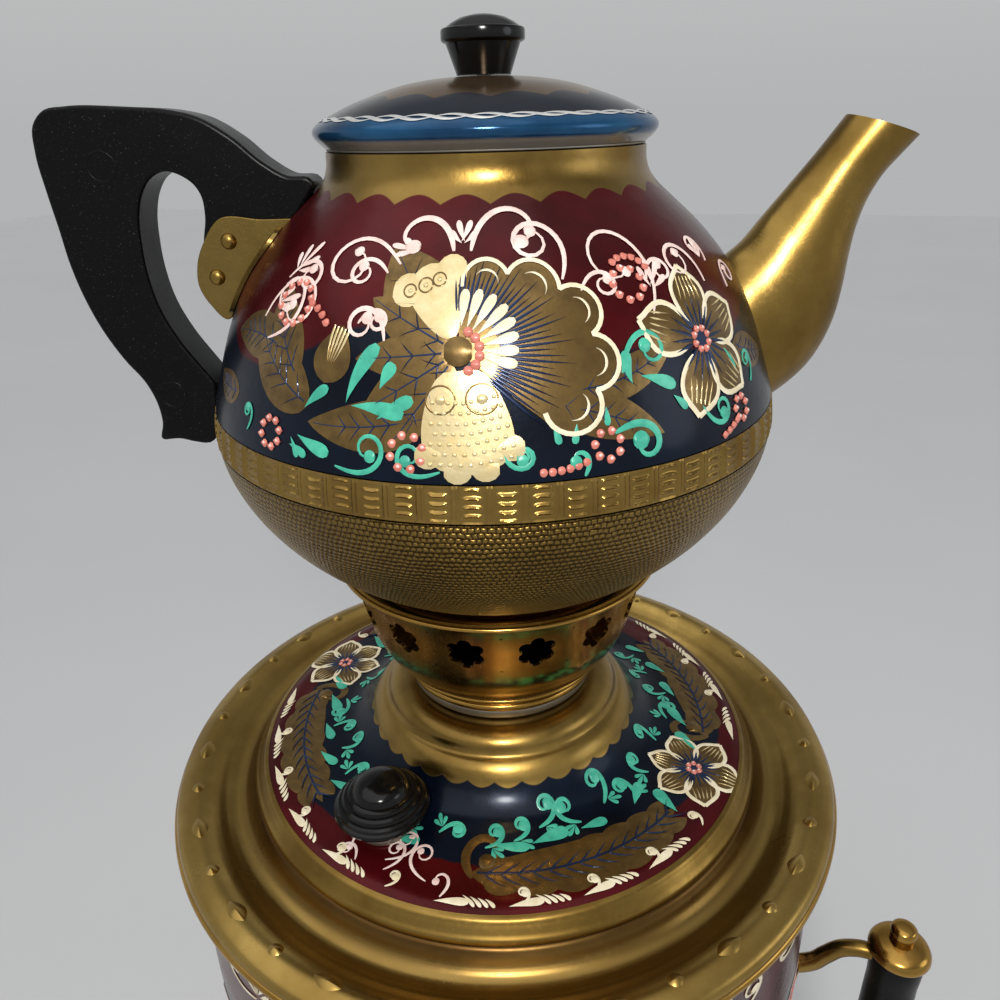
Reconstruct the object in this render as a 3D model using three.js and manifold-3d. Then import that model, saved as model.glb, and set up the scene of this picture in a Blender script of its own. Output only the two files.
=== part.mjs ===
// Painted brass electric samovar with its matching teapot on a pierced crown.
// Millimetres, +Z up. The origin is the centre of the base tray's flat underside.
// The tap points along -Y and the side handles lie along X.

import * as THREE from 'three';
import { mergeVertices } from 'three/addons/utils/BufferGeometryUtils.js';
import Module from 'manifold-3d';

const wasm = await Module();
wasm.setup();

// General sizes
const clearance = 0.3;
const cutOverrun = 2;
const bodySheet = 1.2;
const topSheet = 1;
const lidTurn = THREE.MathUtils.degToRad(-106);
const teapotTurn = THREE.MathUtils.degToRad(20);
const crownTurn = THREE.MathUtils.degToRad(-70);
const largeSides = 28;
const smallSides = 14;
const pinSides = 12;
const hexSides = 6;
const holeSides = 8;
const steepShare = 0.35;

// Base tray and skirt
const trayRadius = 74;
const trayHeight = 12;
const trayFloor = 3.5;
const trayWall = 3;
const trayBevel = 1.5;
const bossRadius = 5;
const skirtRadius = 73.6;
const skirtHeight = 32;
const skirtSteps = 6;
const pedestalRadius = 40;
const pedestalHeight = 9.7;
const pedestalWaist = 3.5;

// Base clamp: a bar, a tie rod and two screws
const barLength = 96;
const barWidth = 14;
const barThickness = 2;
const barHeight = 16;
const screwSpread = 80;
const screwRadius = 1.7;
const screwHeadRadius = 4;
const screwHeadHeight = 2.2;
const screwSink = 0.5;
const rodRadius = 3;
const rodTail = 4;
const tieNutRadius = 5.5;
const tieNutHeight = 4;

// Reservoir and its brass brim
const reservoirRadius = 97;
const reservoirBaseRadius = 41;
const reservoirSteps = 9;
const halvings = 30;
const flangeHeight = 256;
const flangeRadius = 100;
const crestRadius = 93.8;
const crestHeight = 2.8;
const troughRadius = 83;
const troughDepth = 3;
const mouthRadius = 73.4;
const lipWidth = 3;
const lipHeight = 2.6;
const collarDepth = 14;
const brimDrop = 2.6;
const wallRise = 0.5;

// Heater
const heaterHoleRadius = 16.6;
const heaterNeckRadius = 16;
const heaterNeckDrop = 10.3;
const heaterDiscRadius = 25;
const heaterDiscThickness = 3.2;
const sealThickness = 1.7;
const heaterNutRadius = 21.9;
const heaterNutHeight = 6;
const elementRadius = 4;
const elementSpread = 18;
const elementRingRadius = 38;
const elementRise = 22;
const elementSteps = 38;
const elementSides = 6;
const elementTurns = 10;
const terminalDrop = 8;
const cutoutRadius = 4.5;
const cutoutHeight = 7.2;
const cutoutOffset = 10.5;

// Power inlet
const inletWidth = 36;
const inletHeight = 34;
const inletDepth = 26;
const inletFront = 68;
const socketWidth = 28;
const socketHeight = 16;
const socketDepth = 20;
const socketCentre = 23;
const pinSpread = 16;
const pinRadius = 2.4;
const pinSetBack = 3;
const pinTail = 3;
const wireRadius = 1.5;
const wireSteps = 10;
const wireSides = 6;

// Tap
const tapHeight = 96;
const tapReach = 112;
const tubeRadius = 6.5;
const tapBoreRadius = 3.8;
const barrelRadius = 9;
const barrelHeight = 26;
const shoulderRadius = 10;
const shoulderWidth = 4;
const escutcheonRadius = 13;
const escutcheonStand = 8.1;
const tubeTail = 5.6;
const washerRadius = 9.5;
const washerStand = 7.3;
const innerNutWidth = 4;
const nozzleReach = 21.5;
const nozzleDrop = 20;
const nozzleSteps = 8;
const plugRadius = 6;
const plugBoreRadius = 6.3;
const plugFlangeRadius = 7.5;
const plugFlangeHeight = 2;
const plugStemRadius = 4;
const plugStemHeight = 9;
const plugTailRadius = 3;
const plugTailLength = 8;
const plugWasherHeight = 1.2;
const plugNutHeight = 4;
const leverHubRadius = 6.5;
const leverHubHeight = 11;
const leverWidth = 26;
const leverHeight = 20;
const leverThickness = 7;

// Side handles
const handleStandOff = 28;
const handleHeight = 172;
const gripLength = 72;
const gripRadius = 7.3;
const armRadius = 2.5;
const armSpread = 30;
const armRootSpread = 16;
const armSocketDepth = 3;
const armSteps = 10;
const armSides = 8;
const capRadius = 8.6;
const capThickness = 2;
const capSkirt = 2.7;
const finialRadius = 3.7;
const finialHeight = 5.4;

// Samovar lid, measured up from the brim's rim
const lidSkirtRadius = 72.9;
const lidSkirtDepth = 8;
const beadRadius = 77.1;
const beadBase = 3;
const beadHeight = 5.9;
const lidEdgeRadius = 72.6;
const lidEdgeHeight = 8.4;
const lidTopRadius = 27.2;
const lidTopHeight = 28.9;
const lidHoleRadius = 22;
const neckRingRadius = 26.9;
const neckRingHeight = 2.8;
const knobPlace = 55.5;
const knobRadius = 12.6;
const knobHeight = 12.8;
const knobBase = 13.4;
const knobBoreRadius = 2;
const ferruleRadius = 7.2;
const ferruleBevel = 1;
const lidScrewRadius = 1.7;
const lidScrewHeadRadius = 3.5;
const lidScrewHeadHeight = 2.6;
const lidScrewDrop = 8.6;

// Crown
const crownBaseRadius = 26.6;
const crownRimRadius = 44.6;
const crownHeight = 38.5;
const crownHoles = 14;
const crownPitch = 2 * Math.PI / crownHoles;
const crownHoleHeight = 27.7;
const crownHoleRadius = 4.9;
const crownPetals = 6;
const crownSides = 28;
const crownFootWidth = 4.8;
const spigotDepth = 6;
const ledgeHeight = 35;
const ledgeRadius = 36;
const ledgeWidth = 5.8;

// Teapot, measured up from the brim's rim
const footRadius = 38.3;
const footHeight = 4.3;
const footWidth = 1.7;
const footTopWidth = 5.3;
const footTopThickness = 1;
const potRadius = 70;
const potHeight = 102.3;
const potNeckRadius = 36.8;
const strainerHoleRadius = 2;
const strainerSpread = 6;
const spoutWall = 1;
const spoutSides = 14;
const spoutRings = 9;
const handleThickness = 13;
const bracketSheet = 1.2;
const bracketWing = 7;
const rivetRadius = 1.2;
const rivetHeadRadius = 1.9;
const rivetHeadHeight = 1.1;

// Teapot lid
const potLidRadius = 39.3;
const potLidHeight = 12.9;
const collarSkirtRadius = 35.3;
const collarSkirtDepth = 8.5;
const collarFlangeRadius = 37.8;
const collarThickness = 1;
const potScrewHoleRadius = 2.4;
const potKnobRadius = 9.35;
const potKnobHeight = 12.1;
const potKnobBoreRadius = 2.1;
const potKnobBoreDepth = 7.2;
const potScrewRadius = 1.7;
const potScrewHeadRadius = 4;
const potScrewHeadHeight = 2.6;
const ventRadius = 1.1;
const ventPlace = 21;
const ventTurn = THREE.MathUtils.degToRad(70);

// Heights that follow from the sizes above
const skirtBase = trayHeight + clearance;
const pedestalBase = skirtBase + skirtHeight + clearance;
const reservoirBase = pedestalBase + pedestalHeight + clearance;
const reservoirHeight = flangeHeight + wallRise - reservoirBase;
const reservoirFloor = reservoirBase + bodySheet;
const discBase = reservoirFloor + clearance + sealThickness + clearance;
const discTop = discBase + heaterDiscThickness;
const heaterNeckBase = reservoirBase - heaterNeckDrop;
const rodSocketDepth = heaterNeckDrop - bodySheet - clearance;
const terminalHeight = heaterNeckBase - terminalDrop;
const inletBase = trayFloor + clearance;
const socketHeightAt = inletBase + socketCentre;
const neckRingBase = lidTopHeight + clearance;
const crownBase = neckRingBase + neckRingHeight + clearance;
const ledgeTop = crownBase + ledgeHeight;
const footBase = ledgeTop + clearance;
const potBase = footBase + footHeight + clearance;
const potTop = potBase + potHeight;
const potLidBase = potTop + clearance + collarThickness + clearance;
const potKnobBase = potLidBase + potLidHeight + clearance;
const handleReach = reservoirRadius + handleStandOff;
const tapWall = wallRadius(tapHeight);
const escutcheonFace = tapWall + escutcheonStand;
const washerFace = tapWall - washerStand;
const tubeEnd = washerFace - tubeTail;

// Looks of the materials
const looks = {
  brass: { color: 0x9a7b3a, roughness: 0.28, metalness: 1 },
  paintedBrass: { color: 0x5a1420, roughness: 0.3, metalness: 0.4 },
  bareMetal: { color: 0xa9a69c, roughness: 0.35, metalness: 1 },
  steel: { color: 0x8d8f92, roughness: 0.35, metalness: 1 },
  black: { color: 0x0b0b0c, roughness: 0.25, metalness: 0 },
  rubber: { color: 0x1c1c1c, roughness: 0.8, metalness: 0 },
  insulation: { color: 0xd8d2c4, roughness: 0.6, metalness: 0 },
};

// Solids from geometries
function point(x, y) {
  return new THREE.Vector2(x, y);
}

function toSolid(geometry) {
  geometry.deleteAttribute('normal');
  geometry.deleteAttribute('uv');
  const merged = mergeVertices(geometry);
  const place = merged.attributes.position;
  const corners = [];
  let volume = 0;
  const a = new THREE.Vector3();
  const b = new THREE.Vector3();
  const c = new THREE.Vector3();
  for (let i = 0; i < merged.index.count; i += 3) {
    const face = [0, 1, 2].map((k) => merged.index.getX(i + k));
    if (new Set(face).size < 3) continue;
    a.fromBufferAttribute(place, face[0]);
    b.fromBufferAttribute(place, face[1]);
    c.fromBufferAttribute(place, face[2]);
    volume += a.dot(b.cross(c));
    corners.push(...face);
  }
  if (volume < 0) corners.reverse();
  const mesh = new wasm.Mesh({
    numProp: 3,
    vertProperties: new Float32Array(place.array),
    triVerts: new Uint32Array(corners),
  });
  return new wasm.Manifold(mesh);
}

function toGeometry(solid) {
  const { vertProperties, triVerts } = solid.getMesh();
  const geometry = new THREE.BufferGeometry();
  geometry.setAttribute('position', new THREE.BufferAttribute(vertProperties, 3));
  geometry.setIndex(new THREE.BufferAttribute(triVerts, 1));
  geometry.computeVertexNormals();
  return geometry;
}

// A turned solid round Z: each profile point is a radius and a height
function turned(profile, sides = smallSides) {
  const geometry = new THREE.LatheGeometry(profile, sides);
  geometry.rotateX(Math.PI / 2);
  return toSolid(geometry);
}

function ringProfile(inner, outer, base, top) {
  return [point(inner, base), point(outer, base), point(outer, top), point(inner, top), point(inner, base)];
}

function ring(inner, outer, base, top, sides = smallSides) {
  return turned(ringProfile(inner, outer, base, top), sides);
}

function rod(radius, base, top, sides = smallSides) {
  return turned([point(0, base), point(radius, base), point(radius, top), point(0, top)], sides);
}

function block(width, depth, height, x, y, base) {
  const geometry = new THREE.BoxGeometry(width, depth, height);
  geometry.translate(x, y, base + height / 2);
  return toSolid(geometry);
}

// A line moved sideways by a distance, to the left of its direction. Its two ends
// stay at their height where the line is steep there, and at their radius where it is flat.
function beside(line, distance) {
  const last = line.length - 1;
  return line.map((here, i) => {
    const into = here.clone().sub(line[Math.max(i - 1, 0)]).normalize();
    const out = line[Math.min(i + 1, last)].clone().sub(here).normalize();
    const along = into.clone().add(out).normalize();
    if (i === 0 || i === last) {
      if (here.x === 0 || Math.abs(along.y) < steepShare) {
        return point(here.x, here.y + distance / along.x);
      }
      return point(here.x - distance / along.y, here.y);
    }
    const stretch = 1 / Math.max(along.dot(into), Math.SQRT1_2);
    return point(here.x - along.y * distance * stretch, here.y + along.x * distance * stretch);
  });
}

// A thin turned shell whose outer line runs upwards, with its wall inside
function shell(line, wall, sides) {
  const inside = beside(line, wall).reverse();
  const closed = line[0].x === 0 ? [...line, ...inside] : [...line, ...inside, line[0]];
  return turned(closed, sides);
}

// A filled turned solid under a line, grown outwards by a distance
function envelope(line, growth, base, sides) {
  const grown = beside(line, -growth);
  const foot = point(grown[0].x, base);
  const last = grown[grown.length - 1];
  return turned([point(0, base), foot, ...grown, point(0, last.y)], sides);
}

// Points spaced evenly along a smooth line through the given points
function smooth(points, count) {
  return new THREE.SplineCurve(points).getPoints(count);
}

function tube(points, radius, steps, sides) {
  const path = new THREE.CatmullRomCurve3(points, false, 'centripetal');
  const section = new THREE.Shape();
  for (let i = 0; i < sides; i += 1) {
    const turn = (i / sides) * 2 * Math.PI;
    const corner = [radius * Math.cos(turn), radius * Math.sin(turn)];
    if (i === 0) section.moveTo(...corner);
    else section.lineTo(...corner);
  }
  return toSolid(new THREE.ExtrudeGeometry(section, { steps, extrudePath: path, curveSegments: 1 }));
}

// A plate in the XZ plane, centred on Y
function plate(outline, thickness) {
  const shape = new THREE.Shape(outline);
  const geometry = new THREE.ExtrudeGeometry(shape, { depth: thickness, bevelEnabled: false });
  geometry.rotateX(Math.PI / 2);
  geometry.translate(0, thickness / 2, 0);
  return toSolid(geometry);
}

function part(name, solid, look) {
  const mesh = new THREE.Mesh(toGeometry(solid), new THREE.MeshStandardMaterial(looks[look]));
  mesh.name = name;
  return mesh;
}

function placed(mesh, x, y, z) {
  mesh.position.set(x, y, z);
  return mesh;
}

// Base tray with two tubular bosses for the clamp screws
function baseTray() {
  const profile = [
    point(0, 0),
    point(trayRadius - trayBevel, 0),
    point(trayRadius, trayBevel),
    point(trayRadius, trayHeight),
    point(trayRadius - trayWall, trayHeight),
    point(trayRadius - trayWall, trayFloor),
    point(0, trayFloor),
  ];
  let tray = turned(profile, largeSides);
  for (const side of [-1, 1]) {
    const x = side * screwSpread / 2;
    const boss = rod(bossRadius, trayFloor / 2, barHeight - clearance).translate([x, 0, 0]);
    const headSink = screwSink + screwHeadHeight + clearance;
    const sink = rod(screwHeadRadius + 2 * clearance, -cutOverrun, headSink).translate([x, 0, 0]);
    const hole = rod(screwRadius + 2 * clearance, -cutOverrun, barHeight + cutOverrun).translate([x, 0, 0]);
    tray = tray.add(boss).subtract(sink).subtract(hole);
  }
  return tray;
}

// Flared skirt with a notch for the power inlet
function skirtLine() {
  const flareShares = [[1, 0], [0.97, 0.09], [0.7, 0.24], [0.4, 0.44], [0.16, 0.7], [0, 1]];
  const reach = skirtRadius - pedestalRadius;
  return flareShares.map(([across, up]) => (
    point(pedestalRadius + across * reach, skirtBase + up * skirtHeight)
  ));
}

function baseSkirt() {
  const notchWidth = inletWidth + 2 * clearance;
  const notchDepth = inletDepth + skirtRadius;
  const notchTop = inletBase + inletHeight + clearance;
  const notchBack = inletFront - inletDepth - clearance;
  const notch = block(notchWidth, notchDepth, notchTop, 0, notchBack + notchDepth / 2, 0);
  return shell(smooth(skirtLine(), skirtSteps), bodySheet, largeSides).subtract(notch);
}

function pedestalRing() {
  const waistShares = [[1, 0], [0.4, 0.2], [0, 0.5], [0.4, 0.8], [1, 1]];
  const line = waistShares.map(([out, up]) => {
    const radius = pedestalRadius - pedestalWaist * (1 - out);
    return point(radius, pedestalBase + up * pedestalHeight);
  });
  return shell(line, bodySheet, largeSides);
}

function baseBracket() {
  let bar = block(barLength, barWidth, barThickness, 0, 0, barHeight);
  const through = [barHeight - cutOverrun, barHeight + barThickness + cutOverrun];
  bar = bar.subtract(rod(rodRadius + clearance, ...through));
  for (const side of [-1, 1]) {
    const hole = rod(screwRadius + clearance, ...through).translate([side * screwSpread / 2, 0, 0]);
    bar = bar.subtract(hole);
  }
  return bar;
}

function tieRod() {
  const top = heaterNeckBase + rodSocketDepth - clearance;
  return rod(rodRadius, barHeight - tieNutHeight - rodTail, top);
}

function hexNut(radius, bore, base, height) {
  const blank = rod(radius, base, base + height, hexSides);
  return blank.subtract(rod(bore, base - cutOverrun, base + height + cutOverrun));
}

function baseScrew() {
  const headTop = screwSink + screwHeadHeight;
  const tip = barHeight + barThickness + cutOverrun;
  return rod(screwHeadRadius, screwSink, headTop).add(rod(screwRadius, screwSink, tip));
}

// Reservoir: an open vessel that narrows like an acorn to the pedestal
function reservoirLine() {
  const wallShares = [
    [0, 0], [0.085, 0.014], [0.34, 0.077], [0.59, 0.176], [0.786, 0.314], [0.92, 0.472],
    [0.985, 0.62], [1, 0.745], [0.992, 0.89], [0.992, 1],
  ];
  const reach = reservoirRadius - reservoirBaseRadius;
  return wallShares.map(([out, up]) => (
    point(reservoirBaseRadius + out * reach, reservoirBase + up * reservoirHeight)
  ));
}

function reservoirOutline() {
  return smooth(reservoirLine(), reservoirSteps);
}

function reservoir() {
  const line = [point(heaterHoleRadius, reservoirBase), ...reservoirOutline()];
  const tapHole = rod(tubeRadius + clearance, 0, reservoirRadius).rotate([90, 0, 0]);
  return shell(line, bodySheet, largeSides).subtract(tapHole.translate([0, 0, tapHeight]));
}

// The wall's outer radius at a height, by halving the span of the outline that holds it
function wallRadius(height) {
  const curve = new THREE.SplineCurve(reservoirLine());
  let [low, high] = [0, 1];
  for (let i = 0; i < halvings; i += 1) {
    const middle = (low + high) / 2;
    if (curve.getPoint(middle).y < height) low = middle;
    else high = middle;
  }
  return curve.getPoint(low).x;
}

function outsideReservoir(solid) {
  return solid.subtract(envelope(reservoirOutline(), clearance, reservoirBase - cutOverrun, largeSides));
}

function insideReservoir(solid) {
  const growth = -(bodySheet + clearance);
  return solid.intersect(envelope(reservoirOutline(), growth, reservoirBase - cutOverrun, largeSides));
}

// Brim: lid collar, lip, trough, stamped crest and turned-down edge
function topFlange() {
  const shoulderShare = 0.8;
  const line = [
    point(flangeRadius, flangeHeight - brimDrop),
    point(flangeRadius, flangeHeight),
    point((flangeRadius + crestRadius) / 2, flangeHeight + shoulderShare * crestHeight),
    point(crestRadius, flangeHeight + crestHeight),
    point((crestRadius + troughRadius) / 2, flangeHeight),
    point(troughRadius, flangeHeight - troughDepth),
    point(mouthRadius + 2 * lipWidth, flangeHeight - troughDepth / 2),
    point(mouthRadius + lipWidth, flangeHeight + lipHeight),
    point(mouthRadius, flangeHeight + lipHeight),
    point(mouthRadius, flangeHeight - collarDepth),
  ];
  return shell(line, bodySheet, largeSides);
}

// Heater and what clamps it
function heaterFlange() {
  const neckAndDisc = rod(heaterNeckRadius, heaterNeckBase, discTop, largeSides)
    .add(rod(heaterDiscRadius, discBase, discTop, largeSides));
  let piece = neckAndDisc.subtract(
    rod(rodRadius + clearance, heaterNeckBase - cutOverrun, heaterNeckBase + rodSocketDepth),
  );
  for (const side of [-1, 1]) {
    const hole = rod(elementRadius + 2 * clearance, heaterNeckBase - cutOverrun, discTop + cutOverrun);
    piece = piece.subtract(hole.translate([side * elementSpread / 2, 0, 0]));
  }
  return piece;
}

function heatingElement() {
  const leg = elementSpread / 2;
  const ringHeight = discTop + elementRise;
  const bend = ringHeight - elementRadius;
  const openTurn = Math.asin((leg + clearance) / elementRingRadius);
  const ringPoints = [];
  for (let i = 0; i <= elementTurns; i += 1) {
    const turn = Math.PI / 2 + openTurn + (i / elementTurns) * 2 * (Math.PI - openTurn);
    const x = elementRingRadius * Math.cos(turn);
    const y = elementRingRadius * Math.sin(turn);
    ringPoints.push(new THREE.Vector3(x, y, ringHeight));
  }
  const climb = (side) => [
    new THREE.Vector3(side * leg, 0, terminalHeight),
    new THREE.Vector3(side * leg, 0, (terminalHeight + discTop) / 2),
    new THREE.Vector3(side * leg, 0, discTop + elementRise / 3),
    new THREE.Vector3(side * leg, elementRingRadius / 4, bend),
  ];
  const path = [...climb(-1), ...ringPoints, ...climb(1).reverse()];
  return tube(path, elementRadius, elementSteps, elementSides);
}

function heaterNut() {
  const base = reservoirBase - clearance - heaterNutHeight;
  const bore = heaterNeckRadius + 2 * clearance;
  const blank = rod(heaterNutRadius, base, base + heaterNutHeight, hexSides);
  return blank.subtract(rod(bore, base - cutOverrun, base + heaterNutHeight + cutOverrun, largeSides));
}

// Power inlet housing with an open socket
function powerInlet() {
  const back = inletFront - inletDepth;
  const housing = block(inletWidth, inletDepth, inletHeight, 0, back + inletDepth / 2, inletBase);
  const socketBase = socketHeightAt - socketHeight / 2;
  const socketLength = socketDepth + cutOverrun;
  const socketMiddle = inletFront - socketDepth + socketLength / 2;
  let piece = housing.subtract(block(socketWidth, socketLength, socketHeight, 0, socketMiddle, socketBase));
  for (const side of [-1, 1]) {
    const hole = rod(pinRadius + clearance, -inletFront, -(back - cutOverrun)).rotate([90, 0, 0]);
    piece = piece.subtract(hole.translate([side * pinSpread / 2, 0, socketHeightAt]));
  }
  return piece;
}

function inletPin() {
  const back = inletFront - inletDepth - pinTail;
  return rod(pinRadius, -(inletFront - pinSetBack), -back, pinSides).rotate([90, 0, 0]);
}

function leadWire(side) {
  const start = inletFront - inletDepth - pinTail - clearance;
  const end = terminalHeight - clearance;
  const leg = side * elementSpread / 2;
  const pin = side * pinSpread / 2;
  return tube([
    new THREE.Vector3(pin, start, socketHeightAt),
    new THREE.Vector3(pin, start - 3 * wireRadius, socketHeightAt),
    new THREE.Vector3(leg, start / 3, socketHeightAt),
    new THREE.Vector3(leg, 0, end - 3 * wireRadius),
    new THREE.Vector3(leg, 0, end),
  ], wireRadius, wireSteps, wireSides);
}

// Tap, built about its own height: the tube runs along -Y
function tapBody() {
  const along = (radius, from, to, sides = smallSides) => rod(radius, from, to, sides).rotate([90, 0, 0]);
  const nozzleShares = [[0, 0], [0.45, 0], [0.85, 0.2], [1, 0.55], [1, 1]];
  const nozzlePath = (drop) => nozzleShares.map(([out, down]) => (
    new THREE.Vector3(0, -(tapReach + out * nozzleReach), -down * drop)
  ));
  const shoulderEnd = escutcheonFace + clearance + shoulderWidth;
  const barrel = rod(barrelRadius, -barrelHeight / 2, barrelHeight / 2).translate([0, -tapReach, 0]);
  const bore = tube(nozzlePath(nozzleDrop + cutOverrun), tapBoreRadius, nozzleSteps, pinSides);
  const plugBore = rod(plugBoreRadius, -barrelHeight, barrelHeight).translate([0, -tapReach, 0]);
  return along(tubeRadius, tubeEnd, tapReach)
    .add(along(shoulderRadius, escutcheonFace + clearance, shoulderEnd))
    .add(barrel)
    .add(tube(nozzlePath(nozzleDrop), tubeRadius, nozzleSteps, pinSides))
    .subtract(bore)
    .subtract(along(tapBoreRadius, tubeEnd - cutOverrun, tapReach))
    .subtract(plugBore)
    .translate([0, 0, tapHeight]);
}

function tapEscutcheon() {
  const disc = ring(tubeRadius + clearance, escutcheonRadius, mouthRadius / 2, escutcheonFace);
  return outsideReservoir(disc.rotate([90, 0, 0]).translate([0, 0, tapHeight]));
}

function tapWasher() {
  const disc = ring(tubeRadius + clearance, washerRadius, washerFace, reservoirRadius);
  return insideReservoir(disc.rotate([90, 0, 0]).translate([0, 0, tapHeight]));
}

function tapInnerNut() {
  const base = washerFace - clearance - innerNutWidth;
  return hexNut(washerRadius, tubeRadius + clearance, base, innerNutWidth).rotate([90, 0, 0]);
}

// Tap key: a plug with a cross bore that is shut at rest
function tapPlug() {
  const half = barrelHeight / 2;
  const flangeBase = half + clearance;
  const bore = rod(tapBoreRadius, -barrelRadius, barrelRadius, pinSides).rotate([0, 90, 0]);
  return rod(plugRadius, -half + clearance, flangeBase)
    .add(rod(plugFlangeRadius, flangeBase, flangeBase + plugFlangeHeight))
    .add(rod(plugStemRadius, flangeBase, flangeBase + plugFlangeHeight + plugStemHeight))
    .add(rod(plugTailRadius, -half - plugTailLength, 0))
    .subtract(bore);
}

function tapLever() {
  const base = barrelHeight / 2 + 2 * clearance + plugFlangeHeight;
  const socket = rod(plugStemRadius + clearance, base - cutOverrun, base + plugStemHeight);
  const bladeBase = base + leverHubHeight - clearance;
  const half = leverWidth / 2;
  const bladeShares = [
    [-0.42, 0], [0.42, 0], [0.86, 0.3], [1, 0.62], [0.86, 0.88], [0.5, 1],
    [-0.5, 1], [-0.86, 0.88], [-1, 0.62], [-0.86, 0.3],
  ];
  const outline = bladeShares.map(([across, up]) => point(across * half, bladeBase + up * leverHeight));
  const hub = rod(leverHubRadius, base, base + leverHubHeight);
  return hub.add(plate(outline, leverThickness)).subtract(socket);
}

function tapPlugWasher() {
  const top = -barrelHeight / 2 - clearance;
  return ring(plugTailRadius + clearance, plugFlangeRadius, top - plugWasherHeight, top);
}

function tapPlugNut() {
  const base = -barrelHeight / 2 - 2 * clearance - plugWasherHeight - plugNutHeight;
  return hexNut(plugFlangeRadius, plugTailRadius + clearance, base, plugNutHeight);
}

// Side handle, built along +X at its own height
function handleGrip() {
  const half = gripLength / 2;
  let grip = turned([
    point(0, -half), point(gripRadius - clearance, -half), point(gripRadius, -half / 2),
    point(gripRadius, half / 2), point(gripRadius - clearance, half), point(0, half),
  ]);
  for (const side of [-1, 1]) {
    const socket = rod(armRadius + clearance, -2 * gripRadius, -(gripRadius - armSocketDepth), pinSides);
    grip = grip.subtract(socket.rotate([0, 90, 0]).translate([0, 0, side * armSpread]));
  }
  return grip;
}

function handleCap() {
  const base = gripLength / 2 + clearance;
  const top = base + capThickness;
  const skirtInner = gripRadius + clearance;
  const domeShares = [[1, 0.6], [0.7, 0.9], [0, 1]];
  const dome = domeShares.map(([out, up]) => point(out * finialRadius, top + up * finialHeight));
  return turned([
    point(0, base), point(skirtInner, base), point(skirtInner, base - capSkirt),
    point(capRadius, base - capSkirt), point(capRadius, base + capThickness / 2),
    point(finialRadius, top), ...dome,
  ]);
}

function handleArm(side) {
  const socketEnd = handleReach - gripRadius + armSocketDepth - clearance;
  const root = reservoirRadius - 3 * armRadius;
  const reach = socketEnd - root;
  const rise = armSpread - armRootSpread;
  const armShares = [[0, 0], [0.3, 0.2], [0.55, 0.7], [0.8, 1], [1, 1]];
  const path = armShares.map(([out, up]) => (
    new THREE.Vector3(root + out * reach, 0, side * (armRootSpread + up * rise))
  ));
  return outsideReservoir(tube(path, armRadius, armSteps, armSides).translate([0, 0, handleHeight]));
}

// Samovar lid
function lidLine() {
  const slopeShares = [
    [1, 0], [0.79, 0.07], [0.55, 0.1], [0.43, 0.176], [0.326, 0.33], [0.256, 0.585], [0.172, 0.79],
    [0.084, 0.966], [0, 1],
  ];
  const reach = lidEdgeRadius - lidTopRadius;
  const rise = lidTopHeight - lidEdgeHeight;
  return slopeShares.map(([out, up]) => point(lidTopRadius + out * reach, lidEdgeHeight + up * rise));
}

function samovarLid() {
  const line = [...lidLine(), point(lidHoleRadius, lidTopHeight)];
  const inner = lidSkirtRadius - bodySheet;
  const beadShares = [0.4, 0.85];
  const rim = turned([
    point(inner, -lidSkirtDepth), point(lidSkirtRadius, -lidSkirtDepth), point(lidSkirtRadius, beadBase),
    point(beadRadius - topSheet, beadBase), point(beadRadius, beadBase + beadShares[0] * beadHeight),
    point(beadRadius - topSheet, beadBase + beadShares[1] * beadHeight),
    point(lidSkirtRadius + topSheet, beadBase + beadHeight), point(lidEdgeRadius - clearance, lidEdgeHeight),
    point(inner, lidEdgeHeight), point(inner, -lidSkirtDepth),
  ], largeSides);
  let lid = shell(line, topSheet, largeSides).add(rim);
  for (const side of [0, Math.PI]) {
    const hole = rod(lidScrewRadius + 2 * clearance, -lidSkirtDepth, lidTopHeight);
    lid = lid.subtract(hole.translate(knobSpot(side)));
  }
  return lid;
}

function knobSpot(side) {
  return [knobPlace * Math.cos(lidTurn + side), knobPlace * Math.sin(lidTurn + side), 0];
}

function lidFerrule(side) {
  const bore = lidScrewRadius + 2 * clearance;
  const blank = turned([
    point(bore, 0), point(ferruleRadius, 0), point(ferruleRadius, knobBase - ferruleBevel),
    point(ferruleRadius - ferruleBevel, knobBase - clearance), point(bore, knobBase - clearance),
    point(bore, 0),
  ]).translate(knobSpot(side));
  return blank.subtract(envelope(lidLine(), clearance, -lidSkirtDepth, largeSides));
}

function lidKnob() {
  const ringShares = [
    [0.58, 0], [0.88, 0.08], [1, 0.24], [0.96, 0.38], [0.87, 0.42], [0.86, 0.55], [0.75, 0.58],
    [0.74, 0.7], [0.54, 0.83], [0, 1],
  ];
  const boreTop = knobHeight / 2;
  const outer = ringShares.map(([out, up]) => point(out * knobRadius, up * knobHeight));
  return turned([point(0, boreTop), point(knobBoreRadius, boreTop), point(knobBoreRadius, 0), ...outer]);
}

function lidScrew() {
  const head = rod(lidScrewHeadRadius, lidScrewDrop - lidScrewHeadHeight, lidScrewDrop, pinSides);
  const tip = knobBase + knobHeight / 2 - clearance;
  return head.add(rod(lidScrewRadius, lidScrewDrop - topSheet, tip, pinSides));
}

// Crown: a pierced ring that carries the teapot
function crownHole() {
  const notchShare = 0.68;
  const shape = new THREE.Shape();
  for (let i = 0; i < 2 * crownPetals; i += 1) {
    const turn = (i / crownPetals) * Math.PI + Math.PI / 2;
    const radius = i % 2 === 0 ? crownHoleRadius : notchShare * crownHoleRadius;
    const corner = [radius * Math.cos(turn), radius * Math.sin(turn)];
    if (i === 0) shape.moveTo(...corner);
    else shape.lineTo(...corner);
  }
  const geometry = new THREE.ExtrudeGeometry(shape, { depth: crownRimRadius, bevelEnabled: false });
  geometry.rotateX(Math.PI / 2);
  geometry.rotateZ(Math.PI / 2);
  return toSolid(geometry);
}

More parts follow.
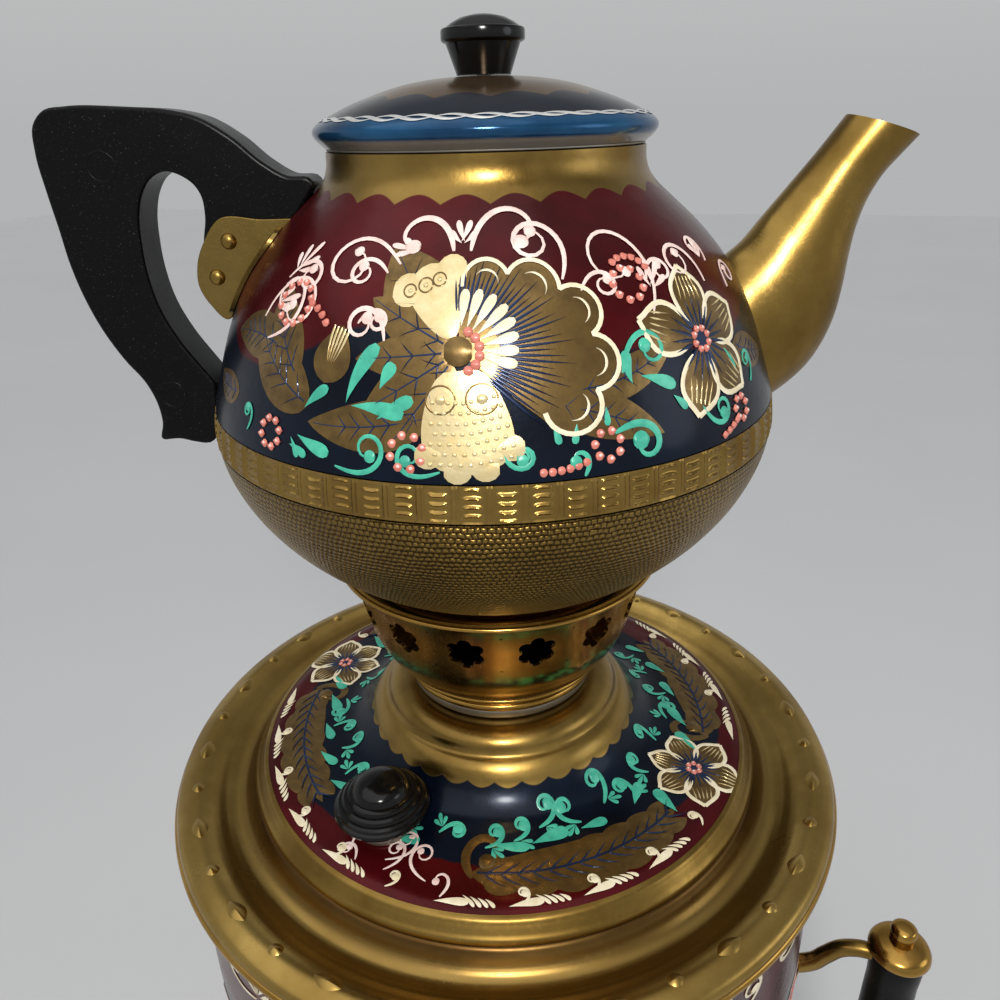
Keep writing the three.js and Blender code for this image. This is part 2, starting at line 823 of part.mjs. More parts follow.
function crown() {
  const wallShares = [
    [0, 0], [0.12, 0.115], [0.28, 0.18], [0.5, 0.34], [0.64, 0.52], [0.76, 0.745], [0.88, 0.9], [1, 1],
  ];
  const reach = crownRimRadius - crownBaseRadius;
  const line = wallShares.map(([out, up]) => point(crownBaseRadius + out * reach, up * crownHeight));
  const spigotRadius = crownBaseRadius - crownFootWidth;
  const spigotWall = spigotRadius - topSheet;
  const foot = turned([
    point(spigotWall, -spigotDepth), point(spigotRadius, -spigotDepth), point(spigotRadius, 0),
    point(crownBaseRadius, 0), point(crownBaseRadius, topSheet), point(spigotWall, topSheet),
    point(spigotWall, -spigotDepth),
  ], crownSides);
  const ledge = ring(ledgeRadius, ledgeRadius + ledgeWidth, ledgeHeight - topSheet, ledgeHeight, crownSides);
  let piece = shell(line, topSheet, crownSides).add(foot).add(ledge);
  const cutter = crownHole();
  for (let i = 0; i < crownHoles; i += 1) {
    const turn = THREE.MathUtils.radToDeg((i + 0.5) * crownPitch);
    piece = piece.subtract(cutter.translate([0, 0, crownHoleHeight]).rotate([0, 0, turn]));
  }
  return piece;
}

// Teapot, with its spout along +X and its handle along -X
function potLine() {
  const bellyShares = [
    [0.055, 0], [0.36, 0.055], [0.56, 0.112], [0.745, 0.18], [0.9, 0.265], [0.985, 0.345],
    [1, 0.4], [0.98, 0.46], [0.9, 0.545], [0.785, 0.645], [0.62, 0.745], [0.4, 0.83], [0.17, 0.9],
    [0.04, 0.945], [0, 1],
  ];
  const reach = potRadius - potNeckRadius;
  return bellyShares.map(([out, up]) => point(potNeckRadius + out * reach, potBase + up * potHeight));
}

function potEnvelope(growth) {
  return envelope(potLine(), growth, potBase - cutOverrun, largeSides);
}

function potBody() {
  let body = shell([point(0, potBase), ...potLine()], topSheet, largeSides);
  const middle = (spoutLower()[0].y + spoutUpper()[0].y) / 2;
  const places = [[0, 0], [1, 0], [-1, 0], [0, 1], [0, -1]];
  for (const [across, up] of places) {
    const hole = rod(strainerHoleRadius, 0, potRadius + spoutWall, holeSides).rotate([0, 90, 0]);
    body = body.subtract(hole.translate([0, across * strainerSpread, middle + up * strainerSpread]));
  }
  return body;
}

function potFoot() {
  const top = footBase + footHeight;
  return turned([
    point(footRadius - footWidth, footBase), point(footRadius, footBase), point(footRadius, top),
    point(footRadius - footTopWidth, top), point(footRadius - footTopWidth, top - footTopThickness),
    point(footRadius - footWidth, top - footTopThickness), point(footRadius - footWidth, footBase),
  ], largeSides);
}

// Spout edges, as shares of the pot's radius and of its height
function fromPotShares(shares) {
  return shares.map(([out, up]) => point(out * potRadius, potBase + up * potHeight));
}

function spoutUpper() {
  const upperShares = [
    [0.8, 0.72], [0.874, 0.764], [0.951, 0.835], [1.027, 0.898], [1.114, 0.969], [1.196, 1.044],
  ];
  return fromPotShares(upperShares);
}

function spoutLower() {
  const lowerShares = [
    [0.98, 0.375], [1.159, 0.467], [1.24, 0.6], [1.259, 0.797], [1.287, 0.867], [1.429, 0.993],
  ];
  return fromPotShares(lowerShares);
}

function spoutRing(upper, lower, sideways, inset) {
  const corners = [];
  for (let i = 0; i < spoutSides; i += 1) {
    const turn = (i / spoutSides) * 2 * Math.PI;
    const middle = upper.clone().add(lower).multiplyScalar(0.5);
    const half = upper.clone().sub(lower).multiplyScalar(0.5);
    const radius = half.length() - inset;
    const along = half.clone().normalize().multiplyScalar(radius * Math.cos(turn));
    const y = (sideways - inset) * Math.sin(turn);
    corners.push(new THREE.Vector3(middle.x + along.x, y, middle.y + along.y));
  }
  return corners;
}

function loft(rings) {
  const sides = rings[0].length;
  const corners = rings.flat().flatMap(({ x, y, z }) => [x, y, z]);
  const faces = [];
  for (let row = 0; row < rings.length - 1; row += 1) {
    for (let i = 0; i < sides; i += 1) {
      const next = (i + 1) % sides;
      const [a, b] = [row * sides + i, row * sides + next];
      faces.push(a, b, a + sides, b, b + sides, a + sides);
    }
  }
  const last = (rings.length - 1) * sides;
  for (let i = 1; i < sides - 1; i += 1) {
    faces.push(0, i + 1, i, last, last + i, last + i + 1);
  }
  const geometry = new THREE.BufferGeometry();
  geometry.setAttribute('position', new THREE.Float32BufferAttribute(corners, 3));
  geometry.setIndex(faces);
  return toSolid(geometry);
}

function spoutSolid(inset) {
  const upper = new THREE.SplineCurve(spoutUpper());
  const lower = new THREE.SplineCurve(spoutLower());
  const widthShares = [0.19, 0.165, 0.14, 0.12, 0.108, 0.106];
  const width = new THREE.SplineCurve(widthShares.map((share, i) => point(i, share * potRadius)));
  const rings = [];
  for (let i = 0; i <= spoutRings; i += 1) {
    const t = i / spoutRings;
    rings.push(spoutRing(upper.getPoint(t), lower.getPoint(t), width.getPoint(t).y, inset));
  }
  if (inset > 0) {
    const end = rings[rings.length - 1];
    const onwards = upper.getTangent(1).multiplyScalar(cutOverrun);
    rings.push(end.map((corner) => corner.clone().add(new THREE.Vector3(onwards.x, 0, onwards.y))));
  }
  return loft(rings);
}

function spout() {
  return spoutSolid(0).subtract(spoutSolid(spoutWall)).subtract(potEnvelope(clearance));
}

// Teapot handle: a moulded plate whose tongue sits in a folded bracket
function handleOutline() {
  const outerShares = [
    [0.52, 0.945], [0.574, 0.948], [0.654, 0.958], [0.726, 0.985], [0.813, 1.035], [0.919, 1.08],
    [1.006, 1.094], [1.32, 1.107], [1.41, 1.09], [1.45, 1.02], [1.44, 0.93], [1.423, 0.781], [1.401, 0.702],
    [1.363, 0.621], [1.31, 0.549], [1.251, 0.487], [1.224, 0.436], [1.22, 0.386], [1.234, 0.338],
    [1.17, 0.342], [1.059, 0.33], [1.02, 0.352], [0.99, 0.42],
  ];
  const innerShares = [
    [1.0, 0.49], [1.041, 0.527], [1.1, 0.592], [1.147, 0.669], [1.166, 0.741], [1.167, 0.814], [1.156, 0.881],
    [1.134, 0.924], [1.047, 0.971], [0.985, 0.95], [0.944, 0.923], [0.94, 0.876],
  ];
  const tongueShares = [
    [0.957, 0.824], [0.97, 0.765], [0.965, 0.72], [0.94, 0.675], [0.88, 0.645], [0.75, 0.66], [0.55, 0.84],
  ];
  return fromPotShares([...outerShares, ...innerShares, ...tongueShares]).map(({ x, y }) => point(-x, y));
}

function bracketOutline() {
  const edgeShares = [
    [0.6, 0.864], [0.89, 0.864], [0.957, 0.812], [0.987, 0.763], [0.99, 0.72], [0.959, 0.675],
    [0.9, 0.64], [0.7, 0.64],
  ];
  return fromPotShares(edgeShares).map(({ x, y }) => point(-x, y));
}

function rivetSpots() {
  const placeShares = [[0.866, 0.816], [0.923, 0.742]];
  return fromPotShares(placeShares).map(({ x, y }) => [-x, 0, y]);
}

function rivetHoles() {
  const length = handleThickness + 4 * bracketSheet;
  const hole = rod(rivetRadius + clearance, -length, length, holeSides).rotate([90, 0, 0]);
  return rivetSpots().map((spot) => hole.translate(spot));
}

function potHandle() {
  const seatShares = [0.6, 0.9];
  const [seatBase, seatTop] = seatShares.map((up) => potBase + up * potHeight);
  const wide = 4 * potRadius;
  const seatBand = block(wide, wide, seatTop - seatBase, 0, 0, seatBase);
  const behindBracket = potEnvelope(bracketSheet + 2 * clearance).intersect(seatBand);
  let handle = plate(handleOutline(), handleThickness)
    .subtract(potEnvelope(clearance))
    .subtract(behindBracket);
  for (const hole of rivetHoles()) handle = handle.subtract(hole);
  return handle;
}

function potBracket() {
  const slot = handleThickness + 2 * clearance;
  const outerWidth = slot + 2 * bracketSheet;
  const skin = potEnvelope(clearance + bracketSheet);
  const cheeks = plate(bracketOutline(), outerWidth);
  const slotBlock = block(2 * potRadius, slot, potHeight, -potRadius, 0, potBase).subtract(skin);
  const wingShares = [0.65, 0.85];
  const [wingBase, wingTop] = wingShares.map((up) => potBase + up * potHeight);
  const wingWidth = outerWidth + 2 * bracketWing;
  const wings = block(potRadius, wingWidth, wingTop - wingBase, -potRadius, 0, wingBase).intersect(skin);
  let bracket = cheeks.subtract(slotBlock).add(wings).subtract(potEnvelope(clearance));
  for (const hole of rivetHoles()) bracket = bracket.subtract(hole);
  return bracket;
}

function potRivet() {
  const seat = handleThickness / 2 + clearance + bracketSheet + clearance / 2;
  const crest = seat + rivetHeadHeight;
  const domeShare = 0.7;
  const bulge = domeShare * rivetHeadRadius;
  const shoulder = seat + domeShare * rivetHeadHeight;
  return turned([
    point(0, -crest), point(bulge, -shoulder), point(rivetHeadRadius, -seat), point(rivetRadius, -seat),
    point(rivetRadius, seat), point(rivetHeadRadius, seat), point(bulge, shoulder), point(0, crest),
  ], holeSides).rotate([90, 0, 0]);
}

// Teapot lid
function potLidCollar() {
  const inner = collarSkirtRadius - topSheet;
  const base = potTop + clearance;
  return turned([
    point(inner, base - collarSkirtDepth), point(collarSkirtRadius, base - collarSkirtDepth),
    point(collarSkirtRadius, base), point(collarFlangeRadius, base),
    point(collarFlangeRadius, base + collarThickness), point(inner, base + collarThickness),
    point(inner, base - collarSkirtDepth),
  ], largeSides);
}

function potLid() {
  const domeShares = [
    [0.972, 0], [1, 0.17], [0.982, 0.295], [0.865, 0.48], [0.66, 0.705], [0.38, 0.915], [0.18, 0.99],
  ];
  const line = domeShares.map(([out, up]) => point(out * potLidRadius, potLidBase + up * potLidHeight));
  line.push(point(potScrewHoleRadius, potLidBase + potLidHeight));
  const inside = beside(line, topSheet).reverse();
  const seat = collarFlangeRadius - 2 * topSheet;
  const profile = [
    point(seat, potLidBase), ...line, ...inside.slice(0, -1), point(seat, potLidBase + topSheet),
    point(seat, potLidBase),
  ];
  const vent = rod(ventRadius, potTop, potTop + 2 * potLidHeight, holeSides);
  const ventSpot = [ventPlace * Math.cos(ventTurn), ventPlace * Math.sin(ventTurn), 0];
  return turned(profile, largeSides).subtract(vent.translate(ventSpot));
}

function potLidKnob() {
  const sideShares = [[0.74, 0], [0.88, 0.52], [1, 0.55], [1, 0.79], [0.62, 0.94], [0, 1]];
  const outer = sideShares.map(([out, up]) => point(out * potKnobRadius, potKnobBase + up * potKnobHeight));
  const boreTop = potKnobBase + potKnobBoreDepth;
  return turned([
    point(0, boreTop), point(potKnobBoreRadius, boreTop), point(potKnobBoreRadius, potKnobBase), ...outer,
  ]);
}

function potLidScrew() {
  const headTop = potKnobBase - 2 * clearance - topSheet;
  const tip = potKnobBase + potKnobBoreDepth - clearance;
  return rod(potScrewHeadRadius, headTop - potScrewHeadHeight, headTop, pinSides)
    .add(rod(potScrewRadius, headTop - topSheet, tip, pinSides));
}

// The whole samovar
const samovar = new THREE.Group();

function addBase() {
  samovar.add(part('base_tray', baseTray(), 'black'));
  samovar.add(part('base_skirt', baseSkirt(), 'brass'));
  samovar.add(part('pedestal_ring', pedestalRing(), 'brass'));
  samovar.add(part('base_bracket', baseBracket(), 'steel'));
  samovar.add(part('tie_rod', tieRod(), 'steel'));
  const tieNutBase = barHeight - clearance - tieNutHeight;
  const tieNut = hexNut(tieNutRadius, rodRadius + clearance, tieNutBase, tieNutHeight);
  samovar.add(part('tie_nut', tieNut, 'steel'));
  samovar.add(placed(part('base_screw_left', baseScrew(), 'steel'), -screwSpread / 2, 0, 0));
  samovar.add(placed(part('base_screw_right', baseScrew(), 'steel'), screwSpread / 2, 0, 0));
}

function addVessel() {
  samovar.add(part('reservoir', reservoir(), 'paintedBrass'));
  samovar.add(part('top_flange', topFlange(), 'brass'));
}

function addHeater() {
  samovar.add(part('heater_flange', heaterFlange(), 'brass'));
  const sealBase = reservoirFloor + clearance;
  const seal = ring(heaterHoleRadius, heaterDiscRadius, sealBase, sealBase + sealThickness, largeSides);
  samovar.add(part('heater_seal', seal, 'rubber'));
  samovar.add(part('heater_nut', heaterNut(), 'brass'));
  samovar.add(part('heating_element', heatingElement(), 'steel'));
  const cutoutTop = heaterNeckBase - clearance;
  const cutout = rod(cutoutRadius, cutoutTop - cutoutHeight, cutoutTop);
  samovar.add(placed(part('thermal_cutout', cutout, 'black'), 0, cutoutOffset, 0));
}

function addInlet() {
  samovar.add(part('power_inlet', powerInlet(), 'black'));
  for (const [name, side] of [['left', -1], ['right', 1]]) {
    const pin = part(`inlet_pin_${name}`, inletPin(), 'bareMetal');
    samovar.add(placed(pin, side * pinSpread / 2, 0, socketHeightAt));
    samovar.add(part(`lead_wire_${name}`, leadWire(side), 'insulation'));
  }
}

function addTap() {
  samovar.add(part('tap_escutcheon', tapEscutcheon(), 'brass'));
  samovar.add(part('tap_body', tapBody(), 'brass'));
  samovar.add(part('tap_washer', tapWasher(), 'rubber'));
  samovar.add(placed(part('tap_inner_nut', tapInnerNut(), 'brass'), 0, 0, tapHeight));
  const key = new THREE.Group();
  key.position.set(0, -tapReach, tapHeight);
  key.add(part('tap_plug', tapPlug(), 'brass'));
  key.add(part('tap_lever', tapLever(), 'black'));
  key.add(part('tap_plug_washer', tapPlugWasher(), 'brass'));
  key.add(part('tap_plug_nut', tapPlugNut(), 'brass'));
  samovar.add(key);
}

function addHandles() {
  for (const [name, turn] of [['right', 0], ['left', Math.PI]]) {
    const side = new THREE.Group();
    side.rotation.z = turn;
    side.add(placed(part(`handle_grip_${name}`, handleGrip(), 'black'), handleReach, 0, handleHeight));
    side.add(part(`handle_arm_${name}_upper`, handleArm(1), 'brass'));
    side.add(part(`handle_arm_${name}_lower`, handleArm(-1), 'brass'));
    const upperCap = part(`handle_cap_${name}_top`, handleCap(), 'brass');
    side.add(placed(upperCap, handleReach, 0, handleHeight));
    const lowerCap = part(`handle_cap_${name}_bottom`, handleCap(), 'brass');
    lowerCap.rotation.x = Math.PI;
    side.add(placed(lowerCap, handleReach, 0, handleHeight));
    samovar.add(side);
  }
}

function addLid(top) {
  top.add(part('samovar_lid', samovarLid(), 'paintedBrass'));
  const neckRingTop = neckRingBase + neckRingHeight;
  const neckRing = ring(lidHoleRadius + clearance, neckRingRadius, neckRingBase, neckRingTop, largeSides);
  top.add(part('lid_neck_ring', neckRing, 'bareMetal'));
  for (const [name, side] of [['front', 0], ['back', Math.PI]]) {
    const [x, y] = knobSpot(side);
    top.add(placed(part(`lid_knob_${name}`, lidKnob(), 'black'), x, y, knobBase));
    top.add(part(`lid_ferrule_${name}`, lidFerrule(side), 'bareMetal'));
    top.add(placed(part(`lid_screw_${name}`, lidScrew(), 'steel'), x, y, 0));
  }
}

function addCrown(top) {
  const piece = placed(part('crown', crown(), 'brass'), 0, 0, crownBase);
  piece.rotation.z = crownTurn;
  top.add(piece);
}

function addTeapot(top) {
  const teapot = new THREE.Group();
  teapot.rotation.z = teapotTurn;
  teapot.add(part('pot_body', potBody(), 'paintedBrass'));
  teapot.add(part('pot_foot', potFoot(), 'brass'));
  teapot.add(part('spout', spout(), 'brass'));
  teapot.add(part('pot_bracket', potBracket(), 'brass'));
  teapot.add(part('pot_handle', potHandle(), 'black'));
  rivetSpots().forEach((spot, i) => {
    teapot.add(placed(part(i === 0 ? 'pot_rivet_upper' : 'pot_rivet_lower', potRivet(), 'brass'), ...spot));
  });
  teapot.add(part('pot_lid', potLid(), 'paintedBrass'));
  teapot.add(part('pot_lid_collar', potLidCollar(), 'bareMetal'));
  teapot.add(part('pot_lid_knob', potLidKnob(), 'black'));
  teapot.add(part('pot_lid_screw', potLidScrew(), 'steel'));
  top.add(teapot);
}

const top = new THREE.Group();
top.position.z = flangeHeight;
samovar.add(top);
addBase();
addVessel();
addHeater();
addInlet();
addTap();
addHandles();
addLid(top);
addCrown(top);
addTeapot(top);

export default samovar;
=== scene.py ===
"""Looks of a painted brass samovar with its teapot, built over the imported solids.

Lengths are millimetres until a mesh is made. Heights are above the tray's underside.
"""

import bmesh
import bpy
import numpy as np
from mathutils import Matrix, Vector


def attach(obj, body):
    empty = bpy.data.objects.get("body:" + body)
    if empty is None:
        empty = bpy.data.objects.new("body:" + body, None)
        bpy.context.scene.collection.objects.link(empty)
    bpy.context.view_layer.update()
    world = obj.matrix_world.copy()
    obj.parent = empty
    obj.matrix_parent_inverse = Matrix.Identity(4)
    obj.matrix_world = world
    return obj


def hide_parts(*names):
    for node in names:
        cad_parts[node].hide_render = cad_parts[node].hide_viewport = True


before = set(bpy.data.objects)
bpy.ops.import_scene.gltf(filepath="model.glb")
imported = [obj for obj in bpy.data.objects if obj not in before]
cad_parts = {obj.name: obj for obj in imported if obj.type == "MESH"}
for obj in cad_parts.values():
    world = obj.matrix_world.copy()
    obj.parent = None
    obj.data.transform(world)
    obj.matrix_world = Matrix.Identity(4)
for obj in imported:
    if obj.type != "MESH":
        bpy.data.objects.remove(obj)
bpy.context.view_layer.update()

# Millimetres in metres, the brim's height, three turns about the upright axis, the number of
# sides of a large turned piece, and the thicknesses of the drawn sheets.
MM = 0.001
BRIM = 256.0
TEAPOT_TURN = np.radians(20)
CROWN_TURN = np.radians(-70)
KNOB_TURN = np.radians(-106)
ROUND = 256
SHEET = 1.2
THIN_SHEET = 1.0


# Lines and profiles

def smooth_line(points, count):
    """Points spaced evenly along a smooth line through the given ones.

    Between two neighbours the line is a cubic whose slope at each end is the slope
    of the chord over that point.
    """
    p = np.asarray(points, float)
    run = np.r_[0, np.cumsum(np.linalg.norm(np.diff(p, axis=0), axis=1))]
    slope = np.gradient(p, run, axis=0)
    at = np.linspace(0, run[-1], count)
    k = np.clip(np.searchsorted(run, at, side="right") - 1, 0, len(p) - 2)
    gap = (run[k + 1] - run[k])[:, None]
    x = (at - run[k])[:, None] / gap
    return (
        (2 * x**3 - 3 * x**2 + 1) * p[k]
        + (x**3 - 2 * x**2 + x) * gap * slope[k]
        + (3 * x**2 - 2 * x**3) * p[k + 1]
        + (x**3 - x**2) * gap * slope[k + 1]
    )


def rounded(points, radius, closed=True, steps=4):
    """The line with each corner cut back by a radius and bridged by a parabola."""
    p = np.asarray(points, float)
    back, on = np.roll(p, 1, 0) - p, np.roll(p, -1, 0) - p
    back_length = np.linalg.norm(back, axis=1, keepdims=True)
    on_length = np.linalg.norm(on, axis=1, keepdims=True)
    cut = np.minimum(radius, 0.45 * np.minimum(back_length, on_length))
    start, end = p + back / back_length * cut, p + on / on_length * cut
    t = np.linspace(0, 1, steps)[None, :, None]
    arc = (1 - t) ** 2 * start[:, None] + 2 * t * (1 - t) * p[:, None] + t**2 * end[:, None]
    if closed:
        return arc.reshape(-1, p.shape[1])
    return np.vstack([p[:1], arc[1:-1].reshape(-1, p.shape[1]), p[-1:]])


def left_of(line):
    """Unit directions to the left of a plane line, by turning its slope a quarter."""
    slope = np.gradient(line, axis=0)
    slope /= np.linalg.norm(slope, axis=1, keepdims=True)
    return np.stack([-slope[:, 1], slope[:, 0]], 1)


def wall(line, thickness=SHEET):
    """A closed profile: the line, and the same line moved left by a thickness, run back."""
    return np.vstack([line, (line + thickness * left_of(line))[::-1]])


def box_profile(inner, outer, base, top, bevel=0.4):
    """A rectangle of two radii and two heights with its corners rounded."""
    return rounded([(inner, base), (outer, base), (outer, top), (inner, top)], bevel)


def full_turn(count):
    """Angles spaced evenly once round, from 0."""
    return np.linspace(0, 2 * np.pi, count, endpoint=False)


def bead_profile(radius, height, wide, high, steps=20):
    """A closed ring: an ellipse about a middle of radius and height."""
    way = full_turn(steps)
    return np.stack([radius + wide * np.cos(way), height + high * np.sin(way)], 1)


def over(base, points):
    """Points of radius and height, each raised by a base."""
    return [(radius, base + height) for radius, height in points]


def radius_on(line, height):
    """The radius of a rising line at a height."""
    return np.interp(height, line[:, 1], line[:, 0])


def polar(radius, angle, height):
    """Places by radius, turn and height: x is r cos a, and y is r sin a."""
    return np.stack(np.broadcast_arrays(radius * np.cos(angle), radius * np.sin(angle), height), -1)


def turned_about(turn):
    """The matrix that turns rows of places about the upright axis."""
    c, s = np.cos(turn), np.sin(turn)
    return np.array([[c, s, 0], [-s, c, 0], [0, 0, 1]])


# Surfaces and meshes

def grid_faces(rows, cols, ring_rows=False, ring_cols=True):
    """Quads between the neighbouring rows and columns of a grid of points."""
    i = np.arange(rows if ring_rows else rows - 1)[:, None]
    j = np.arange(cols if ring_cols else cols - 1)[None, :]
    up, side = (i + 1) % rows, (j + 1) % cols
    corners = [i * cols + j, i * cols + side, up * cols + side, up * cols + j]
    return np.stack(corners, -1).reshape(-1, 4)


def repeated(cells, count, size):
    """The faces of one patch of points, said again for each of a number of such patches."""
    return (np.arange(count)[:, None, None] * size + cells[None]).reshape(-1, 4)


def outwards(points, faces):
    """The faces, turned round where the volume they close comes out negative."""
    a, b, c, d = (points[faces[:, k]] for k in range(4))
    volume = np.einsum("ij,ij->", a, np.cross(b, c)) + np.einsum("ij,ij->", a, np.cross(c, d))
    return faces[:, ::-1] if volume < 0 else faces


def make_piece(name, body, points, faces, finish, sharp=38, welded=False, replaced=(), slot=None):
    """A mesh piece from whole arrays of points in millimetres and of faces. Edges that turn by
    more than `sharp` degrees are sharp, and `welded` merges the points that coincide.
    `slot` is not used."""
    mesh = bpy.data.meshes.new(name)
    faces = faces.tolist() if isinstance(faces, np.ndarray) else faces
    mesh.from_pydata((np.asarray(points) * MM).tolist(), [], faces)
    if welded:
        work = bmesh.new()
        work.from_mesh(mesh)
        bmesh.ops.remove_doubles(work, verts=work.verts, dist=1e-7)
        work.to_mesh(mesh)
        work.free()
    mesh.shade_smooth()
    mesh.set_sharp_from_angle(angle=np.radians(sharp))
    mesh.materials.append(finish)
    piece = bpy.data.objects.new(name, mesh)
    bpy.context.scene.collection.objects.link(piece)
    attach(piece, body)
    for node in replaced:
        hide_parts(node)
    return piece


def turned_points(profile, sides, centre=(0, 0, 0), axis="z"):
    """Points of a profile of radius and height, turned about an axis through a centre."""
    angle = full_turn(sides)
    points = polar(profile[:, :1], angle, profile[:, 1:2])
    if axis == "y":
        points = np.stack([points[..., 0], -points[..., 2], points[..., 1]], -1)
    return points.reshape(-1, 3) + np.asarray(centre, float)


def turned(name, body, profile, finish, sides=ROUND, centre=(0, 0, 0), axis="z", **extra):
    """A closed turned piece. The profile is a loop, or a line from the axis to the axis."""
    profile = np.asarray(profile, float)
    poles = profile[0, 0] == 0 and profile[-1, 0] == 0
    points = turned_points(profile, sides, centre, axis)
    faces = outwards(points, grid_faces(len(profile), sides, ring_rows=not poles))
    return make_piece(name, body, points, faces, finish, welded=poles, **extra)


def swept_points(path, radius, sides, across):
    """Points of circles round a plane path. Each circle spans the path's own normal and
    the fixed direction that stands across its plane."""
    path, across = np.asarray(path, float), np.asarray(across, float)
    slope = np.gradient(path, axis=0)
    slope /= np.linalg.norm(slope, axis=1, keepdims=True)
    normal = np.cross(slope, across)
    angle = full_turn(sides)[None, :, None]
    radius = np.broadcast_to(np.asarray(radius, float), len(path))[:, None, None]
    return path[:, None] + radius * (np.cos(angle) * normal[:, None] + np.sin(angle) * across)


def swept(name, body, path, radius, finish, across, sides, bore=0, **extra):
    """A closed rod along a plane path, with a point in the middle of each end, or with a bore
    a pipe, whose inner circles are run back."""
    outer = swept_points(path, radius, sides, across)
    if bore:
        rows = np.concatenate([outer, swept_points(path, bore, sides, across)[::-1]])
    else:
        ends = [np.broadcast_to(path[k], outer[:1].shape) for k in (0, -1)]
        rows = np.concatenate([ends[0], outer, ends[1]])
    points = rows.reshape(-1, 3)
    faces = outwards(points, grid_faces(len(rows), sides, ring_rows=bool(bore)))
    make_piece(name, body, points, faces, finish, welded=not bore, **extra)


def cut_plate(name, body, outline, thickness, finish, bevel, segments, turn=0.0,
              centre=(0, 0, 0), **extra):
    """A flat plate in a plane through the axis: outline of distance and height, thick across
    the plane, turned about the axis, with its edges bevelled."""
    n = len(outline)
    x, z = outline.T
    side = np.array([-0.5, 0.5])[:, None] * thickness
    points = np.stack(np.broadcast_arrays(x, side, z), -1).reshape(-1, 3)
    points = points @ turned_about(turn) + np.asarray(centre, float)
    faces = grid_faces(2, n).tolist() + [list(range(n))[::-1], list(range(n, 2 * n))]
    area = np.sum(x * np.roll(z, -1) - np.roll(x, -1) * z)
    if area > 0:
        faces = [face[::-1] for face in faces]
    piece = make_piece(name, body, points, faces, finish, **extra)
    edge = piece.modifiers.new("edge", "BEVEL")
    edge.width, edge.segments = bevel * MM, segments
    edge.limit_method, edge.angle_limit = "ANGLE", np.radians(50)
    edge.harden_normals = False


# Material wiring

def new_finish(name, **sockets):
    """A material, its tree and its shader, with plain values on the shader's own sockets."""
    finish = bpy.data.materials.new(name)
    finish.use_nodes = True
    shader = finish.node_tree.nodes["Principled BSDF"]
    for key, value in sockets.items():
        shader.inputs[key.replace("_", " ")].default_value = value
    return finish, finish.node_tree, shader


def put(tree, kind, feeds=None, **settings):
    """A node with its settings. Each input is given a value or wired to a socket."""
    made = tree.nodes.new(kind)
    for key, value in settings.items():
        setattr(made, key, value)
    for key, value in (feeds or {}).items():
        if isinstance(value, bpy.types.NodeSocket):
            tree.links.new(value, made.inputs[key])
        else:
            made.inputs[key].default_value = value
    return made


def calc(tree, operation, *values):
    """One math node on values or sockets."""
    return put(tree, "ShaderNodeMath", dict(enumerate(values)), operation=operation).outputs[0]


def wire(tree, shader, **sockets):
    """Sockets wired to the shader's own inputs of the same names."""
    for key, socket in sockets.items():
        tree.links.new(socket, shader.inputs[key.replace("_", " ")])


def blended(tree, factor, first, second):
    """Two colours mixed by a factor. Each is a socket, or its red, green and blue."""
    feeds = {0: factor}
    for key, side in ((6, first), (7, second)):
        feeds[key] = side if isinstance(side, bpy.types.NodeSocket) else (*side, 1.0)
    return put(tree, "ShaderNodeMix", feeds, data_type="RGBA").outputs[2]


def spread(tree, value, low, high, to_low=0.0, to_high=1.0):
    """A value's range carried onto another range and clamped to it."""
    feeds = {"Value": value, "From Min": low, "From Max": high, "To Min": to_low, "To Max": to_high}
    return put(tree, "ShaderNodeMapRange", feeds).outputs[0]


def object_place(tree):
    """Object coordinates, on which every pattern is laid."""
    return put(tree, "ShaderNodeTexCoord").outputs["Object"]


def place_sockets(tree):
    """Object coordinates, the distance from the axis, the turn about it, and the height."""
    where = object_place(tree)
    x, y, z = put(tree, "ShaderNodeSeparateXYZ", {0: where}).outputs
    squares = calc(tree, "ADD", calc(tree, "MULTIPLY", x, x), calc(tree, "MULTIPLY", y, y))
    return where, calc(tree, "SQRT", squares), calc(tree, "ARCTAN2", y, x), z


def lathe_place(tree, radius, turn, z):
    """A place of radius, height and a little of the turn, in which a noise becomes rings."""
    feeds = {0: radius, 1: z, 2: calc(tree, "MULTIPLY", turn, 0.0006)}
    return put(tree, "ShaderNodeCombineXYZ", feeds).outputs[0]


def grain(tree, vector, scale, detail=3.0, roughness=0.55):
    """A noise from 0 to 1."""
    feeds = {"Vector": vector, "Scale": scale, "Detail": detail, "Roughness": roughness}
    return put(tree, "ShaderNodeTexNoise", feeds).outputs[0]


def bump(tree, shader, height, strength, distance):
    """A height from 0 to 1, times a distance in millimetres, as the shader's normal."""
    feeds = {"Height": height, "Strength": strength, "Distance": distance * MM}
    wire(tree, shader, Normal=put(tree, "ShaderNodeBump", feeds).outputs[0])


# Metals, black plastic, rubber and sleeves

